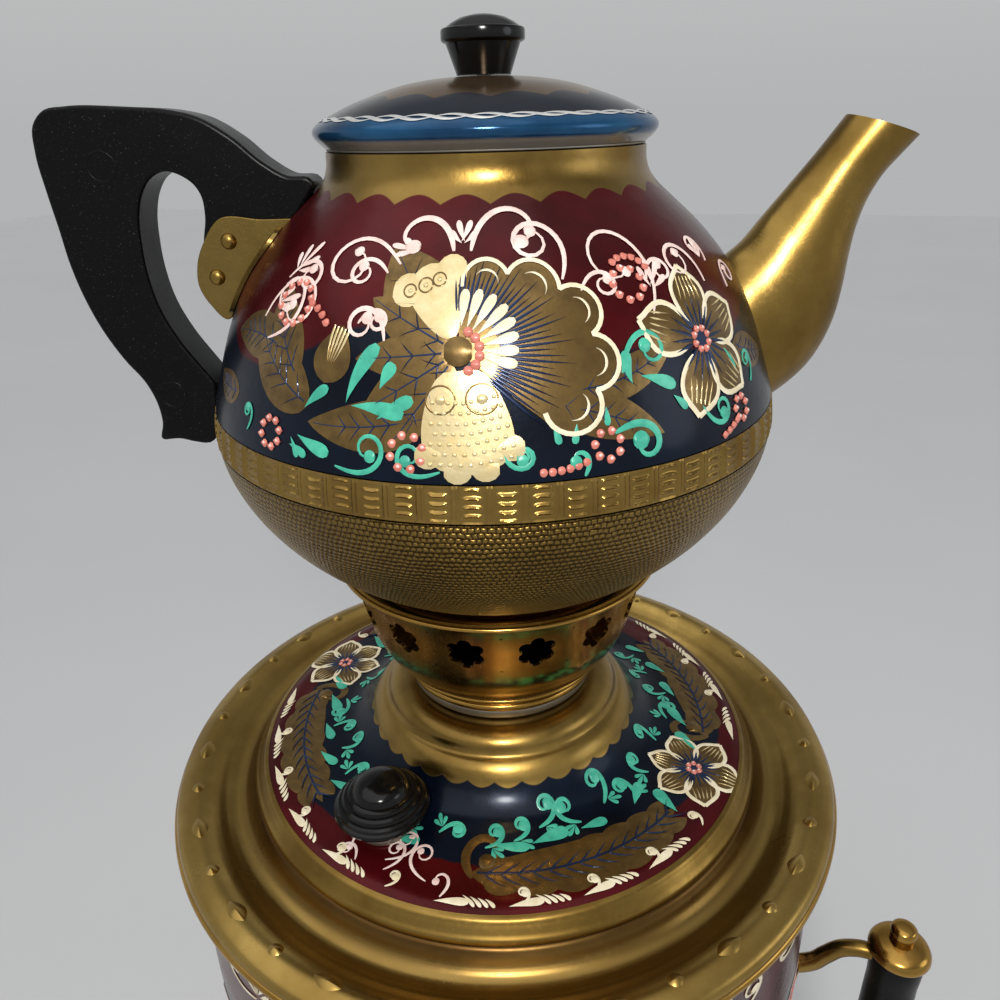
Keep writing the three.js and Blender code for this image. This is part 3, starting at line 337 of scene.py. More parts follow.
def brass(name, light, dark, smooth=0.2, rough=0.36, lines=0.10, about_axis=True, painted_shade_radius=None):
    """Lacquered brass: slow stains in colour and gloss, and fine turning lines. Where a shade
    radius is given, the metal is painted dark inside it, as painted shade under the lid's bead,
    with an edge that wanders with the stain."""
    finish, tree, shader = new_finish(name, Metallic=1.0)
    where, radius, turn, z = place_sockets(tree)
    stain = grain(tree, where, 38.0, 4.0, 0.62)
    tone = blended(tree, spread(tree, stain, 0.36, 0.66), dark, light)
    # Painted shade under the lid's bead: the brass is darkened inside the radius.
    if painted_shade_radius:
        edge = calc(tree, "MULTIPLY_ADD", stain, -5.0 * MM, radius)
        painted_shade = spread(tree, edge, (painted_shade_radius - 4.5) * MM, (painted_shade_radius + 1.5) * MM, 1.0, 0.0)
        tone = blended(tree, painted_shade, tone, (0.11, 0.058, 0.018))
    gloss = spread(tree, stain, 0.3, 0.7, rough, smooth)
    specks = spread(tree, grain(tree, where, 900.0, 2.0), 0.5, 0.8, 0.0, 0.08)
    wire(tree, shader, Base_Color=tone, Roughness=calc(tree, "ADD", gloss, specks))
    along = lathe_place(tree, radius, turn, z) if about_axis else where
    bump(tree, shader, grain(tree, along, 1500.0, 2.0), lines, 0.12)
    return finish


BRASS = brass("brass_lacquered", (0.34, 0.218, 0.058), (0.20, 0.120, 0.028), 0.22, 0.36)
# The brim's brass is painted dark inside 79 mm: painted shade under the lid's bead.
BRASS_BRIM = brass("brass_brim", (0.44, 0.295, 0.086), (0.30, 0.190, 0.050), 0.24, 0.36,
                   painted_shade_radius=79.0)
BRASS_POLISHED = brass("brass_polished", (0.50, 0.300, 0.074), (0.34, 0.192, 0.042), 0.14, 0.26,
                       0.07)
BRASS_PLAIN = brass("brass_pressed", (0.30, 0.205, 0.063), (0.19, 0.125, 0.034), 0.26, 0.42, 0.45,
                    about_axis=False)


def hammered_brass(name, around, depth):
    """Brass struck in staggered rows of small pillows. The turn gives the place in a row, the
    mesh's own row mark gives the row, and every second row is shifted by half a pillow. A
    pillow falls off with the square of the distance from its middle, both ways. The seams
    between pillows are painted near black, as painted shade."""
    finish, tree, shader = new_finish(name, Metallic=1.0)
    where, _, turn, _ = place_sockets(tree)
    row = put(tree, "ShaderNodeAttribute", attribute_name="row").outputs["Fac"]
    row = calc(tree, "MULTIPLY_ADD", grain(tree, where, 320.0, 2.0), 0.8, row)
    odd = calc(tree, "MULTIPLY", calc(tree, "FLOOR", row), 0.5)
    column = calc(tree, "MULTIPLY_ADD", turn, around / (2 * np.pi), odd)
    column = calc(tree, "MULTIPLY_ADD", grain(tree, where, 430.0, 2.0), 0.9, column)
    heights = []
    for place in (row, column):
        off = calc(tree, "MULTIPLY_ADD", calc(tree, "FRACT", place), 2.0, -1.0)
        heights.append(calc(tree, "SUBTRACT", 1.0, calc(tree, "MULTIPLY", off, off)))
    pillow = calc(tree, "POWER", calc(tree, "MULTIPLY", *heights), 0.85)
    stain = grain(tree, where, 30.0, 4.0, 0.6)
    wear = spread(tree, stain, 0.35, 0.65)
    worn = blended(tree, wear, (0.19, 0.117, 0.031), (0.34, 0.220, 0.060))
    # Painted shade: the seams between the pillows are painted near black.
    tone = blended(tree, spread(tree, pillow, 0.05, 0.6), (0.045, 0.026, 0.007), worn)
    wire(tree, shader, Base_Color=tone, Roughness=spread(tree, stain, 0.3, 0.7, 0.38, 0.27))
    bump(tree, shader, pillow, 0.9, depth)
    return finish


HAMMER_MARKS = 330
HAMMERED = hammered_brass("brass_hammered", HAMMER_MARKS, 0.42)
STAMPED = brass("brass_stamped", (0.42, 0.275, 0.080), (0.24, 0.145, 0.038), 0.2, 0.34, 0.06)


def black_moulding(name, gloss, rough, texture, shine=0.3, dusty=0.016):
    """Black moulded plastic: a faint mottle in gloss and a fine skin texture with dust in it."""
    finish, tree, shader = new_finish(name, Specular_IOR_Level=shine)
    where = object_place(tree)
    mottle = grain(tree, where, 60.0, 4.0, 0.6)
    dust = spread(tree, grain(tree, where, 2600.0, 2.0, 0.7), 0.66, 0.80)
    tone = blended(tree, dust, (0.003, 0.003, 0.0035), (dusty, dusty, dusty))
    wire(tree, shader, Base_Color=tone, Roughness=spread(tree, mottle, 0.3, 0.7, gloss, rough))
    bump(tree, shader, grain(tree, where, 700.0, 3.0, 0.6), texture, 0.2)
    return finish


BLACK_GLOSS = black_moulding("black_polished", 0.10, 0.2, 0.03)
BLACK_GRIP = black_moulding("black_moulded", 0.24, 0.38, 0.14, 0.13, 0.11)


def plain_metal(name, light, dark, gloss, rough):
    """Bare or plated metal with turning lines and slow tarnish."""
    finish, tree, shader = new_finish(name, Metallic=1.0)
    where, radius, turn, z = place_sockets(tree)
    stain = grain(tree, where, 55.0, 4.0, 0.6)
    tone = blended(tree, spread(tree, stain, 0.35, 0.68), dark, light)
    wire(tree, shader, Base_Color=tone, Roughness=spread(tree, stain, 0.3, 0.7, rough, gloss))
    bump(tree, shader, grain(tree, lathe_place(tree, radius, turn, z), 1800.0, 2.0), 0.12, 0.1)
    return finish


ALUMINIUM = plain_metal("bare_aluminium", (0.36, 0.34, 0.29), (0.22, 0.20, 0.16), 0.36, 0.52)
STEEL = plain_metal("plated_steel", (0.55, 0.56, 0.57), (0.36, 0.36, 0.36), 0.25, 0.42)


def matt(name, light, dark, rough, scale):
    """Rubber or woven sleeve: a fine mottle in colour and height."""
    finish, tree, shader = new_finish(name, Roughness=rough)
    mottle = grain(tree, object_place(tree), scale, 3.0, 0.6)
    wire(tree, shader, Base_Color=blended(tree, spread(tree, mottle, 0.35, 0.65), dark, light))
    bump(tree, shader, mottle, 0.3, 0.2)
    return finish


RUBBER = matt("rubber_seal", (0.03, 0.03, 0.03), (0.012, 0.012, 0.012), 0.75, 500.0)
SLEEVE = matt("woven_sleeve", (0.72, 0.67, 0.57), (0.52, 0.47, 0.38), 0.8, 1400.0)


# Paint

def scalloped(tree, turn, count, depth):
    """A row of round scallops about the axis: depth in millimetres times the size of a sine."""
    wave = calc(tree, "SINE", calc(tree, "MULTIPLY", turn, count / 2))
    return calc(tree, "MULTIPLY", calc(tree, "ABSOLUTE", wave), depth * MM)


NAVY, NAVY_LIGHT = (0.0022, 0.004, 0.010), (0.003, 0.009, 0.023)
MAROON, MAROON_DARK = (0.090, 0.003, 0.005), (0.044, 0.002, 0.003)
GOLD, GOLD_DARK = (0.34, 0.218, 0.056), (0.20, 0.120, 0.028)


def clouded(tree, cloud, *pairs):
    """Each pair of colours mixed by the cloud."""
    return [blended(tree, spread(tree, cloud, 0.35, 0.65), *pair) for pair in pairs]


def past(tree, value, edge, soft=0.4):
    """0 short of an edge and 1 past it, over a band of some millimetres to each side."""
    return spread(tree, calc(tree, "SUBTRACT", value, edge), -soft * MM, soft * MM)


def lobes(tree, turn, cloud, middle, swings):
    """A wavy edge: a middle value plus sines of the turn, with some cloud in it."""
    edge = calc(tree, "MULTIPLY_ADD", cloud, 6.0 * MM, (middle - 3.0) * MM)
    for count, size, start in swings:
        wave = calc(tree, "SINE", calc(tree, "MULTIPLY_ADD", turn, count, start))
        edge = calc(tree, "MULTIPLY_ADD", wave, size * MM, edge)
    return edge


def two_tones(tree, cloud, share):
    """Navy, and maroon by a share, each with its own cloud."""
    navy = blended(tree, spread(tree, cloud, 0.4, 0.7), NAVY, NAVY_LIGHT)
    return blended(tree, share, navy, *clouded(tree, cloud, (MAROON_DARK, MAROON)))


def with_gold(tree, cloud, tone, bare):
    """A colour with bare gold by a share, and that share."""
    return blended(tree, bare, tone, *clouded(tree, cloud, (GOLD_DARK, GOLD))), bare


def pot_zones(tree, radius, turn, z, cloud):
    """Navy below, maroon above a wavy line, and bare gold above a scalloped one."""
    edge = lobes(tree, turn, cloud, BRIM + 141.5, [(4, 4.0, 0.9), (7, 2.0, 0.3)])
    top = calc(tree, "ADD", scalloped(tree, turn, 26, 1.7), (BRIM + 165.6) * MM)
    tone = two_tones(tree, cloud, past(tree, z, edge))
    return with_gold(tree, cloud, tone, past(tree, z, top, 0.1))


def lid_zones(tree, radius, turn, z, cloud):
    """Maroon along the rim, navy inside a wavy line, and bare gold inside a scalloped one and
    on the outermost edge."""
    edge = lobes(tree, turn, cloud, 62.5, [(2, 2.6, 1.4), (5, 1.4, 0.2)])
    dome = calc(tree, "ADD", scalloped(tree, turn, 34, 0.8), 39.8 * MM)
    rim = spread(tree, radius, 72.5 * MM, 72.7 * MM)
    bare = calc(tree, "MAXIMUM", past(tree, dome, radius, 0.1), rim)
    tone = two_tones(tree, cloud, past(tree, radius, edge))
    return with_gold(tree, cloud, tone, bare)


def body_zones(tree, radius, turn, z, cloud):
    """Maroon shoulder, navy belly between two wavy lines, maroon below and bare gold foot."""
    high = lobes(tree, turn, cloud, 214.0, [(6, 4.0, 0.9), (10, 2.0, 0.3)])
    low = lobes(tree, turn, cloud, 132.0, [(6, 4.0, 0.2), (10, 2.0, 1.3)])
    outer = calc(tree, "MAXIMUM", past(tree, z, high), past(tree, low, z))
    foot = calc(tree, "SUBTRACT", 108.0 * MM, scalloped(tree, turn, 36, 2.0))
    return with_gold(tree, cloud, two_tones(tree, cloud, outer), past(tree, foot, z, 0.1))


def pot_lid_zones(tree, radius, turn, z, cloud):
    """Brown gold centre with a scalloped edge on near-black navy, a bright blue rim, and a
    grey underside."""
    shade = spread(tree, cloud, 0.4, 0.7)
    dark = blended(tree, shade, (0.004, 0.007, 0.013), (0.007, 0.013, 0.028))
    blue, gold = clouded(tree, cloud, ((0.006, 0.035, 0.09), (0.014, 0.085, 0.19)),
                         ((0.13, 0.075, 0.035), (0.22, 0.135, 0.06)))
    tone = blended(tree, spread(tree, radius, 36.2 * MM, 37.4 * MM), dark, blue)
    edge = calc(tree, "SUBTRACT", 29.2 * MM, scalloped(tree, turn, 16, 2.6))
    inside = past(tree, edge, radius, 0.1)
    under = spread(tree, z, (BRIM + 176.7) * MM, (BRIM + 177.2) * MM, 1.0, 0.0)
    grey = blended(tree, cloud, (0.20, 0.19, 0.17), (0.36, 0.345, 0.32))
    bare = calc(tree, "MAXIMUM", inside, calc(tree, "MULTIPLY", under, 0.3))
    tone = blended(tree, under, blended(tree, inside, tone, gold), grey)
    return tone, calc(tree, "MULTIPLY", bare, 0.7)


def painted(name, zones, gloss=0.22, relief=0.16, outward=(1, 1, 0), within=200.0):
    """Translucent lacquer over brass. The zones function gives the colour and the bare share.
    The inside is tinned: there the normal runs against the outward direction, which is the
    place with its three parts scaled by `outward`, and the place is nearer to the axis than
    `within`."""
    finish, tree, shader = new_finish(name, Coat_Weight=0.14, Coat_Roughness=0.14,
                                      Specular_IOR_Level=0.18)
    where, radius, turn, z = place_sockets(tree)
    cloud = grain(tree, where, 42.0, 4.0, 0.6)
    tone, bare = zones(tree, radius, turn, z, cloud)
    normal = put(tree, "ShaderNodeTexCoord").outputs["Normal"]
    away = put(tree, "ShaderNodeVectorMath", {0: where, 1: outward}, operation="MULTIPLY")
    facing = put(tree, "ShaderNodeVectorMath", {0: normal, 1: away.outputs[0]},
                 operation="DOT_PRODUCT").outputs["Value"]
    facing_in = spread(tree, facing, -0.012, -0.006, 1.0, 0.0)
    inside = calc(tree, "MULTIPLY", facing_in, calc(tree, "LESS_THAN", radius, within * MM))
    tin = blended(tree, cloud, (0.26, 0.25, 0.23), (0.44, 0.43, 0.40))
    bare = calc(tree, "MAXIMUM", bare, inside)
    rough = calc(tree, "ADD", spread(tree, cloud, 0.3, 0.7, gloss, gloss + 0.12),
                 spread(tree, bare, 0.0, 1.0, 0.0, 0.03))
    wire(tree, shader, Base_Color=blended(tree, inside, tone, tin), Roughness=rough,
         Metallic=spread(tree, bare, 0.0, 1.0, 0.45, 1.0))
    ripple = put(tree, "ShaderNodeTexVoronoi", {"Vector": where, "Scale": 210.0, "Smoothness": 0.6},
                 feature="SMOOTH_F1").outputs["Distance"]
    bump(tree, shader, calc(tree, "ADD", ripple, grain(tree, where, 500.0)), relief, 0.25)
    return finish


POT_PAINT = painted("paint_on_pot", pot_zones)
LID_PAINT = painted("paint_on_lid", lid_zones, relief=0.12, outward=(0, 0, 1))
BODY_PAINT = painted("paint_on_body", body_zones)
POT_LID_PAINT = painted("paint_on_pot_lid", pot_lid_zones, gloss=0.12, relief=0.05,
                        outward=(0, 0, 1), within=35.2)


def enamel(name, light, dark, metallic=0.0, rough=0.32, bead=0.12):
    """One brushed paint: shade changes in slow streaks, and the surface is a little uneven."""
    finish, tree, shader = new_finish(name, Metallic=metallic, Coat_Weight=0.15, Coat_Roughness=0.2)
    where = object_place(tree)
    streak = grain(tree, where, 260.0, 3.0, 0.6)
    wire(tree, shader, Base_Color=blended(tree, spread(tree, streak, 0.35, 0.65), dark, light),
         Roughness=spread(tree, streak, 0.3, 0.7, rough + 0.08, rough - 0.08))
    bump(tree, shader, grain(tree, where, 1100.0), bead, 0.08)
    return finish


INKS = {
    "cream": enamel("paint_cream", (0.88, 0.80, 0.60), (0.74, 0.64, 0.42)),
    "pink": enamel("paint_pink_cream", (0.90, 0.72, 0.66), (0.78, 0.55, 0.50)),
    "salmon": enamel("paint_salmon", (0.72, 0.24, 0.18), (0.58, 0.16, 0.12)),
    "teal": enamel("paint_teal", (0.07, 0.50, 0.34), (0.035, 0.34, 0.24)),
    "brown": enamel("paint_brown_gold", (0.22, 0.135, 0.04), (0.12, 0.072, 0.022), 0.75, 0.32, 0.3),
    "pale": enamel("paint_pale_gold", (0.82, 0.68, 0.38), (0.66, 0.51, 0.24), 0.55, 0.34, 0.5),
    "navy": enamel("paint_navy", (0.010, 0.03, 0.09), (0.006, 0.014, 0.05), 0.4, 0.25),
    "silver": enamel("paint_silver", (0.72, 0.72, 0.70), (0.52, 0.53, 0.54), 0.4, 0.3),
}


# Base: tray edge, flared skirt with the inlet's notch, pedestal ring

def base_pieces():
    """Turned shells with rolled edges. The skirt's lower part runs round from one side of
    the notch to the other: at each height it starts where the notch's flat side cuts it."""
    notch_top, notch_half, seam = 38.4, 18.3, 0.4
    tray_edge = box_profile(72.6, 74.1, 0.1, 12.0, 1.2)
    turned("tray_edge", "samovar", tray_edge, BLACK_GRIP)
    flare = [(73.6, 12.3), (72.6, 15.2), (63.5, 20.0), (53.4, 26.4), (45.4, 34.7), (40.0, 44.3)]
    line = smooth_line(flare, 40)
    joint = [radius_on(line, notch_top), notch_top]
    high = np.vstack([joint, line[line[:, 1] > notch_top + seam]])
    low = np.vstack([line[line[:, 1] < notch_top - seam], joint])
    turned("skirt_neck", "samovar", wall(high), BRASS)
    loop = wall(low)
    half = np.arcsin(np.clip(notch_half / loop[:, :1], 0, 0.9))
    angle = np.pi / 2 + half + np.linspace(0, 1, 220) * (2 * np.pi - 2 * half)
    points = polar(loop[:, :1], angle, loop[:, 1:]).reshape(-1, 3)
    rows, cols = angle.shape
    faces = outwards(points, grid_faces(rows, cols, ring_rows=True, ring_cols=False)).tolist()
    first = [row * cols for row in range(rows)]
    last = [row * cols + cols - 1 for row in range(rows)][::-1]
    make_piece("skirt_flare", "samovar", points, faces + [first, last], BRASS,
               replaced=["base_skirt"])
    waist = smooth_line([(40.0, 44.6), (38.0, 46.6), (36.5, 49.4), (38.0, 52.4), (40.0, 54.3)], 32)
    turned("pedestal_waist", "samovar", wall(waist), BRASS_POLISHED, replaced=["pedestal_ring"])
    for place, height in (("low", 44.6), ("high", 54.3)):
        turned(f"pedestal_bead_{place}", "samovar", bead_profile(40.2, height, 1.5, 1.1),
               BRASS_POLISHED)


# Reservoir and brim

BODY_LINE = smooth_line([(41 + 56 * out, 54.6 + 201.9 * up) for out, up in (
    (0, 0), (0.085, 0.014), (0.34, 0.077), (0.59, 0.176), (0.786, 0.314), (0.92, 0.472),
    (0.985, 0.62), (1, 0.745), (0.992, 0.89), (0.992, 1),
)], 110)


def body_pieces():
    """The reservoir's shell and floor, and the brim: one pressing with a crest, a trough and a
    lip that runs down inside the lid, and a rolled edge round it."""
    turned("body_shell", "samovar", wall(BODY_LINE), BODY_PAINT, replaced=["reservoir"])
    turned("body_floor", "samovar", box_profile(16.6, 42.0, 54.6, 55.8), ALUMINIUM)
    brim = smooth_line(over(BRIM, [
        (99.9, -2.6), (100.0, -1.0), (99.3, 0.8), (97.0, 2.2), (93.8, 2.8), (91.0, 1.8),
        (88.4, 0.1), (85.8, -1.9), (83.0, -3.0), (80.8, -2.5), (79.2, -1.2), (77.8, 0.8),
        (76.6, 2.2), (75.4, 2.6), (74.2, 2.6),
    ]), 120)
    lip = over(BRIM, [(73.5, 2.2), (73.4, 1.0), (73.4, -7), (73.4, -14)])
    turned("brim_pressing", "samovar", wall(np.vstack([brim, lip])), BRASS_BRIM,
           replaced=["top_flange"])
    turned("brim_rolled_edge", "samovar", bead_profile(99.4, BRIM - 2.2, 1.35, 1.35, 24),
           BRASS_POLISHED)
    brim_stamps()


def brim_stamps():
    """Raised stamps along the crest, by turns a pointed one that is longer along the brim and
    a round one.

    A stamp is a grid of distance and direction about its middle. Its edge is round, or a
    rounded diamond, whose distance comes from powers of the cosine and sine, and its
    height falls off with a power of the distance.
    """
    count, rings, spokes = 36, 9, 32
    long_half, wide_half, round_half = 4.3, 2.5, 2.2
    power = 1.6
    middle = np.arange(count) * 2 * np.pi / count + 0.06
    share = np.linspace(0, 1, rings)[:, None]
    way = full_turn(spokes)[None, :]
    diamond = (np.abs(np.cos(way)) ** power + np.abs(np.sin(way)) ** power) ** (-1 / power)
    pointed = (np.arange(count) % 2 == 0)[:, None, None]
    along = np.where(pointed, long_half * diamond * np.cos(way), round_half * np.cos(way)) * share
    across = np.where(pointed, wide_half * diamond * np.sin(way), round_half * np.sin(way)) * share
    rise = np.where(pointed, 0.95, 0.9) * (1 - share**1.9) - 0.1
    radius = 93.6 + across
    angle = middle[:, None, None] + along / radius
    crest = np.interp(radius, [88.6, 91.0, 93.8, 97.0, 99.3], [0.2, 1.8, 2.8, 2.2, 0.8])
    points = polar(radius, angle, BRIM + crest + rise).reshape(-1, 3)
    faces = repeated(grid_faces(rings, spokes), count, rings * spokes)
    make_piece("brim_stamps", "samovar", points, faces, BRASS_BRIM, sharp=85, welded=True)


# Samovar lid, its knobs and neck ring

LID_LINE = smooth_line(over(BRIM, [
    (72.6, 8.4), (70.5, 9.1), (66.5, 9.5), (63.0, 9.8), (58.0, 10.1), (52.2, 10.5), (49.0, 11.1),
    (46.0, 12.2), (43.6, 13.9), (41.6, 15.9), (40.2, 17.8), (39.2, 19.6), (38.2, 21.0),
    (36.8, 22.3), (35.3, 23.2), (34.7, 24.2), (34.2, 25.6), (33.2, 26.9), (31.4, 28.1),
    (29.4, 28.7), (27.2, 28.9),
]), 150)


def lid_pieces():
    """The lid's painted shell, its brass bead with a skirt inside the brim, the bare collar
    under the crown, and two turned knobs of shrinking tiers, each on a bare cup."""
    neck = over(BRIM, [(24.6, 28.9), (22.0, 28.9)])
    turned("lid_shell", "lid", wall(np.vstack([LID_LINE, neck]), THIN_SHEET), LID_PAINT,
           replaced=["samovar_lid"])
    bead = smooth_line(over(BRIM, [
        (73.4, 3.0), (75.4, 2.9), (76.6, 3.1), (77.0, 3.7), (76.8, 4.4), (75.8, 5.6), (74.6, 7.1),
        (73.6, 8.2), (72.6, 8.6),
    ]), 48)
    skirt = over(BRIM, [(71.7, 7.6), (71.7, -8), (72.9, -8)])
    turned("lid_bead", "lid", np.vstack([bead, skirt]), BRASS)
    turned("lid_collar", "lid", box_profile(22.3, 27.0, BRIM + 29.2, BRIM + 32.0, 0.7), ALUMINIUM,
           replaced=["lid_neck_ring"])
    tiers = [(0.42, 0.0), (0.50, 0.03), (0.60, 0.08), (0.68, 0.10), (0.70, 0.13), (0.83, 0.17),
             (0.87, 0.21), (0.96, 0.25), (1.0, 0.32), (0.985, 0.38), (0.94, 0.405), (0.935, 0.42),
             (0.925, 0.47), (0.88, 0.505), (0.83, 0.51), (0.82, 0.53), (0.81, 0.58),
             (0.76, 0.615), (0.70, 0.62), (0.69, 0.64), (0.68, 0.69), (0.63, 0.72),
             (0.585, 0.725), (0.575, 0.74), (0.56, 0.80), (0.50, 0.88), (0.38, 0.95),
             (0.2, 0.99), (0.0, 1.0)]
    knob_radius, knob_height, knob_reach = 12.6, 12.8, 55.5
    knob = [(0.0, 0.0)] + [(out * knob_radius, up * knob_height) for out, up in tiers]
    cup = rounded([(2.6, -3.6), (7.6, -3.4), (7.2, -1.6), (6.0, -0.3), (2.6, -0.3)], 0.6)
    for side, name in ((0.0, "front"), (np.pi, "back")):
        spot = polar(knob_reach, KNOB_TURN + side, BRIM + 13.4)
        turned(f"knob_{name}", "lid", knob, BLACK_GLOSS, sides=96, centre=spot, sharp=25,
               replaced=[f"lid_knob_{name}"])
        turned(f"knob_seat_{name}", "lid", cup, ALUMINIUM, sides=96, centre=spot,
               replaced=[f"lid_ferrule_{name}"])


# Crown: a bowl with a row of rosette holes

CROWN_BASE = BRIM + 32.3
CROWN_LINE = smooth_line(over(CROWN_BASE, [
    (26.6, 0.0), (27.6, 2.2), (28.8, 4.2), (30.4, 5.8), (32.0, 7.6), (34.0, 10.2), (35.9, 13.6),
    (37.4, 17.2), (38.5, 21.2), (39.6, 26.0), (40.6, 30.0), (42.0, 34.2), (43.2, 36.8),
    (44.6, 38.5),
]), 90)


def crown_pieces():
    """The pierced band is 14 patches. On a patch, rows run from the hole's edge to the
    patch's rectangular edge, and columns run round it; the hole's distance from its middle
    swings with the size of the cosine of three turns. The rest is turned."""
    holes, rows, spokes = 14, 9, 96
    hole_height, reach, hole_size = CROWN_BASE + 27.7, 6.1, 5.1
    low, high = hole_height - reach, hole_height + reach
    way = full_turn(spokes) + np.pi / spokes
    petal = hole_size * (0.68 + 0.32 * np.abs(np.cos(3 * (way - np.pi / 2))) ** 0.7)
    half_turn = np.pi / holes
    at = radius_on(CROWN_LINE, hole_height)
    edge = np.minimum(half_turn * at / np.maximum(np.abs(np.cos(way)), 1e-6),
                      reach / np.maximum(np.abs(np.sin(way)), 1e-6))
    distance = petal + (edge - petal) * np.linspace(0, 1, rows)[:, None]
    around, height = distance * np.cos(way), hole_height + distance * np.sin(way)
    angle = (np.arange(holes)[:, None, None] + 0.5) * 2 * half_turn + around / at + CROWN_TURN
    outer = radius_on(CROWN_LINE, height)
    points = np.stack([polar(outer - inset, angle, height) for inset in (0.0, THIN_SHEET)], 1)
    size = rows * spokes
    front = grid_faces(rows, spokes)
    here = np.arange(spokes)
    after = (here + 1) % spokes
    rim = np.stack([here, after, size + after, size + here], 1)
    faces = repeated(np.vstack([front[:, ::-1], front + size, rim]), holes, 2 * size)
    make_piece("crown_pierced_band", "crown", points.reshape(-1, 3), faces[:, ::-1],
               BRASS_POLISHED, welded=True, replaced=["crown"])
    lower = [CROWN_LINE[CROWN_LINE[:, 1] < low - 0.2], [radius_on(CROWN_LINE, low), low]]
    upper = [[radius_on(CROWN_LINE, high), high], CROWN_LINE[CROWN_LINE[:, 1] > high + 0.2]]
    for name, line in (("bowl", lower), ("lip", upper)):
        turned(f"crown_{name}", "crown", wall(np.vstack(line), THIN_SHEET), BRASS_POLISHED)
    for place, radius, up, wide, tall in (("foot", 27.2, 1.2, 1.1, 1.2),
                                          ("step", 29.6, 5.2, 0.9, 0.8),
                                          ("lip", 44.2, 38.0, 0.9, 0.75)):
        turned(f"crown_bead_{place}", "crown", bead_profile(radius, CROWN_BASE + up, wide, tall),
               BRASS_POLISHED)
    for name, inner, outer, base, top in (("ledge", 36.0, 41.0, 34.0, 35.0),
                                          ("spigot", 20.8, 21.8, -6, 1.0),
                                          ("floor", 20.8, 26.8, 0.0, 1.0)):
        box = box_profile(inner, outer, CROWN_BASE + base, CROWN_BASE + top, 0.3)
        turned(f"crown_{name}", "crown", box, BRASS_PLAIN)


# Teapot

POT_LINE = smooth_line(over(BRIM, [
    (38.6, 72.3), (42.6, 73.8), (46.6, 76.0), (50.6, 79.0), (55.6, 83.6), (61.5, 90.5),
    (66.7, 99.3), (69.4, 107.3), (70.0, 112.6), (69.3, 119.3), (66.7, 128.0), (62.9, 138.2),
    (57.4, 148.4), (50.1, 157.1), (42.9, 163.6), (39.6, 166.6), (37.9, 168.8), (37.0, 171.4),
    (36.8, 174.5),
]), 260)


def pot_pieces():
    """The pot in three turned shells, the middle one struck with a row of panels."""
    band_low, band_high = BRIM + 111.4, BRIM + 119.0
    below = POT_LINE[POT_LINE[:, 1] < band_low]
    above = POT_LINE[POT_LINE[:, 1] > band_high]
    inner = (below + THIN_SHEET * left_of(below))[::-1]
    inner = inner[inner[:, 1] > BRIM + 73.6]
    floor = over(BRIM, [(0.0, 72.2), (20.0, 72.2), (36.0, 72.2)])
    inner_floor = over(BRIM, [(37.0, 73.4), (20.0, 73.2), (0.0, 73.2)])
    base = turned("pot_hammered_base", "teapot", np.vstack([floor, below, inner, inner_floor]),
                  HAMMERED, replaced=["pot_body"])
    mark_rows(base.data)
    turned("pot_painted_shoulder", "teapot", wall(above, THIN_SHEET), POT_PAINT)
    stamped_band(band_low, band_high)
    foot = over(BRIM, [(36.4, 67.6), (38.5, 67.6), (38.7, 70.0), (39.3, 72.3), (33.2, 72.0),
                       (33.2, 71.0), (36.4, 71.0)])
    turned("pot_foot_ring", "teapot", rounded(foot, 0.6), BRASS_POLISHED, replaced=["pot_foot"])


def mark_rows(mesh):
    """The row mark: the sum of small steps along the pot's line over the radius there, so the
    rows draw together as the pillows get narrower."""
    step = np.linalg.norm(np.diff(POT_LINE, axis=0), axis=1)
    middle = (POT_LINE[1:, 0] + POT_LINE[:-1, 0]) / 2
    row = np.r_[0, np.cumsum(step / middle)] * HAMMER_MARKS / (2 * np.pi)
    place = np.empty(3 * len(mesh.vertices))
    mesh.vertices.foreach_get("co", place)
    mark = mesh.attributes.new("row", "FLOAT", "POINT")
    mark.data.foreach_set("value", np.interp(place[2::3] / MM, POT_LINE[:, 1], row))


def bell(distance, width):
    """e to the power of minus the square of the distance over the width."""
    return np.exp(-((distance / width) ** 2))


def stamped_band(low, high):
    """A ring of 66 struck panels. Fine ridges stand between the panels; each panel holds four
    short crescents, bowed up in one panel and down in the next. A ridge or crescent is a
    narrow bell of the distance from its middle line."""
    panels, per = 66, 22
    cols, rows = panels * per, 40
    u = (np.arange(cols) % per + 0.5) / per
    v = np.linspace(0, 1, rows)
    way = np.where((np.arange(cols) // per) % 2 == 0, 1.0, -1.0)
    sunk = 1 - bell(u, 0.16) - bell(1 - u, 0.16)
    edge = np.clip(np.minimum(v, 1 - v) / 0.07, 0, 1)
    divider = bell(u - 0.075, 0.035) + bell(u - 0.925, 0.035)
    bow = 0.085 * way * (1 - (2 * u - 1) ** 2)
    ends = np.clip(np.minimum(u - 0.2, 0.8 - u) / 0.1, 0, 1)
    levels = (0.14, 0.37, 0.60, 0.83)
    crescents = sum(bell(v[:, None] - level - bow[None, :], 0.034) for level in levels)
    lift = edge[:, None] * (0.32 * divider - 0.26 * sunk + 0.52 * ends * crescents)
    z = low + (high - low) * v[:, None]
    radius = radius_on(POT_LINE, z) + lift
    angle = 2 * np.pi * (np.arange(cols) / cols)[None, :] + 0 * radius
    back = z[[-1, 0]]
    inner = polar(radius_on(POT_LINE, back) - THIN_SHEET, angle[:2], back)
    points = np.concatenate([polar(radius, angle, z), inner]).reshape(-1, 3)
    faces = outwards(points, grid_faces(rows + 2, cols, ring_rows=True))
    make_piece("pot_stamped_band", "teapot", points, faces, STAMPED, sharp=60)


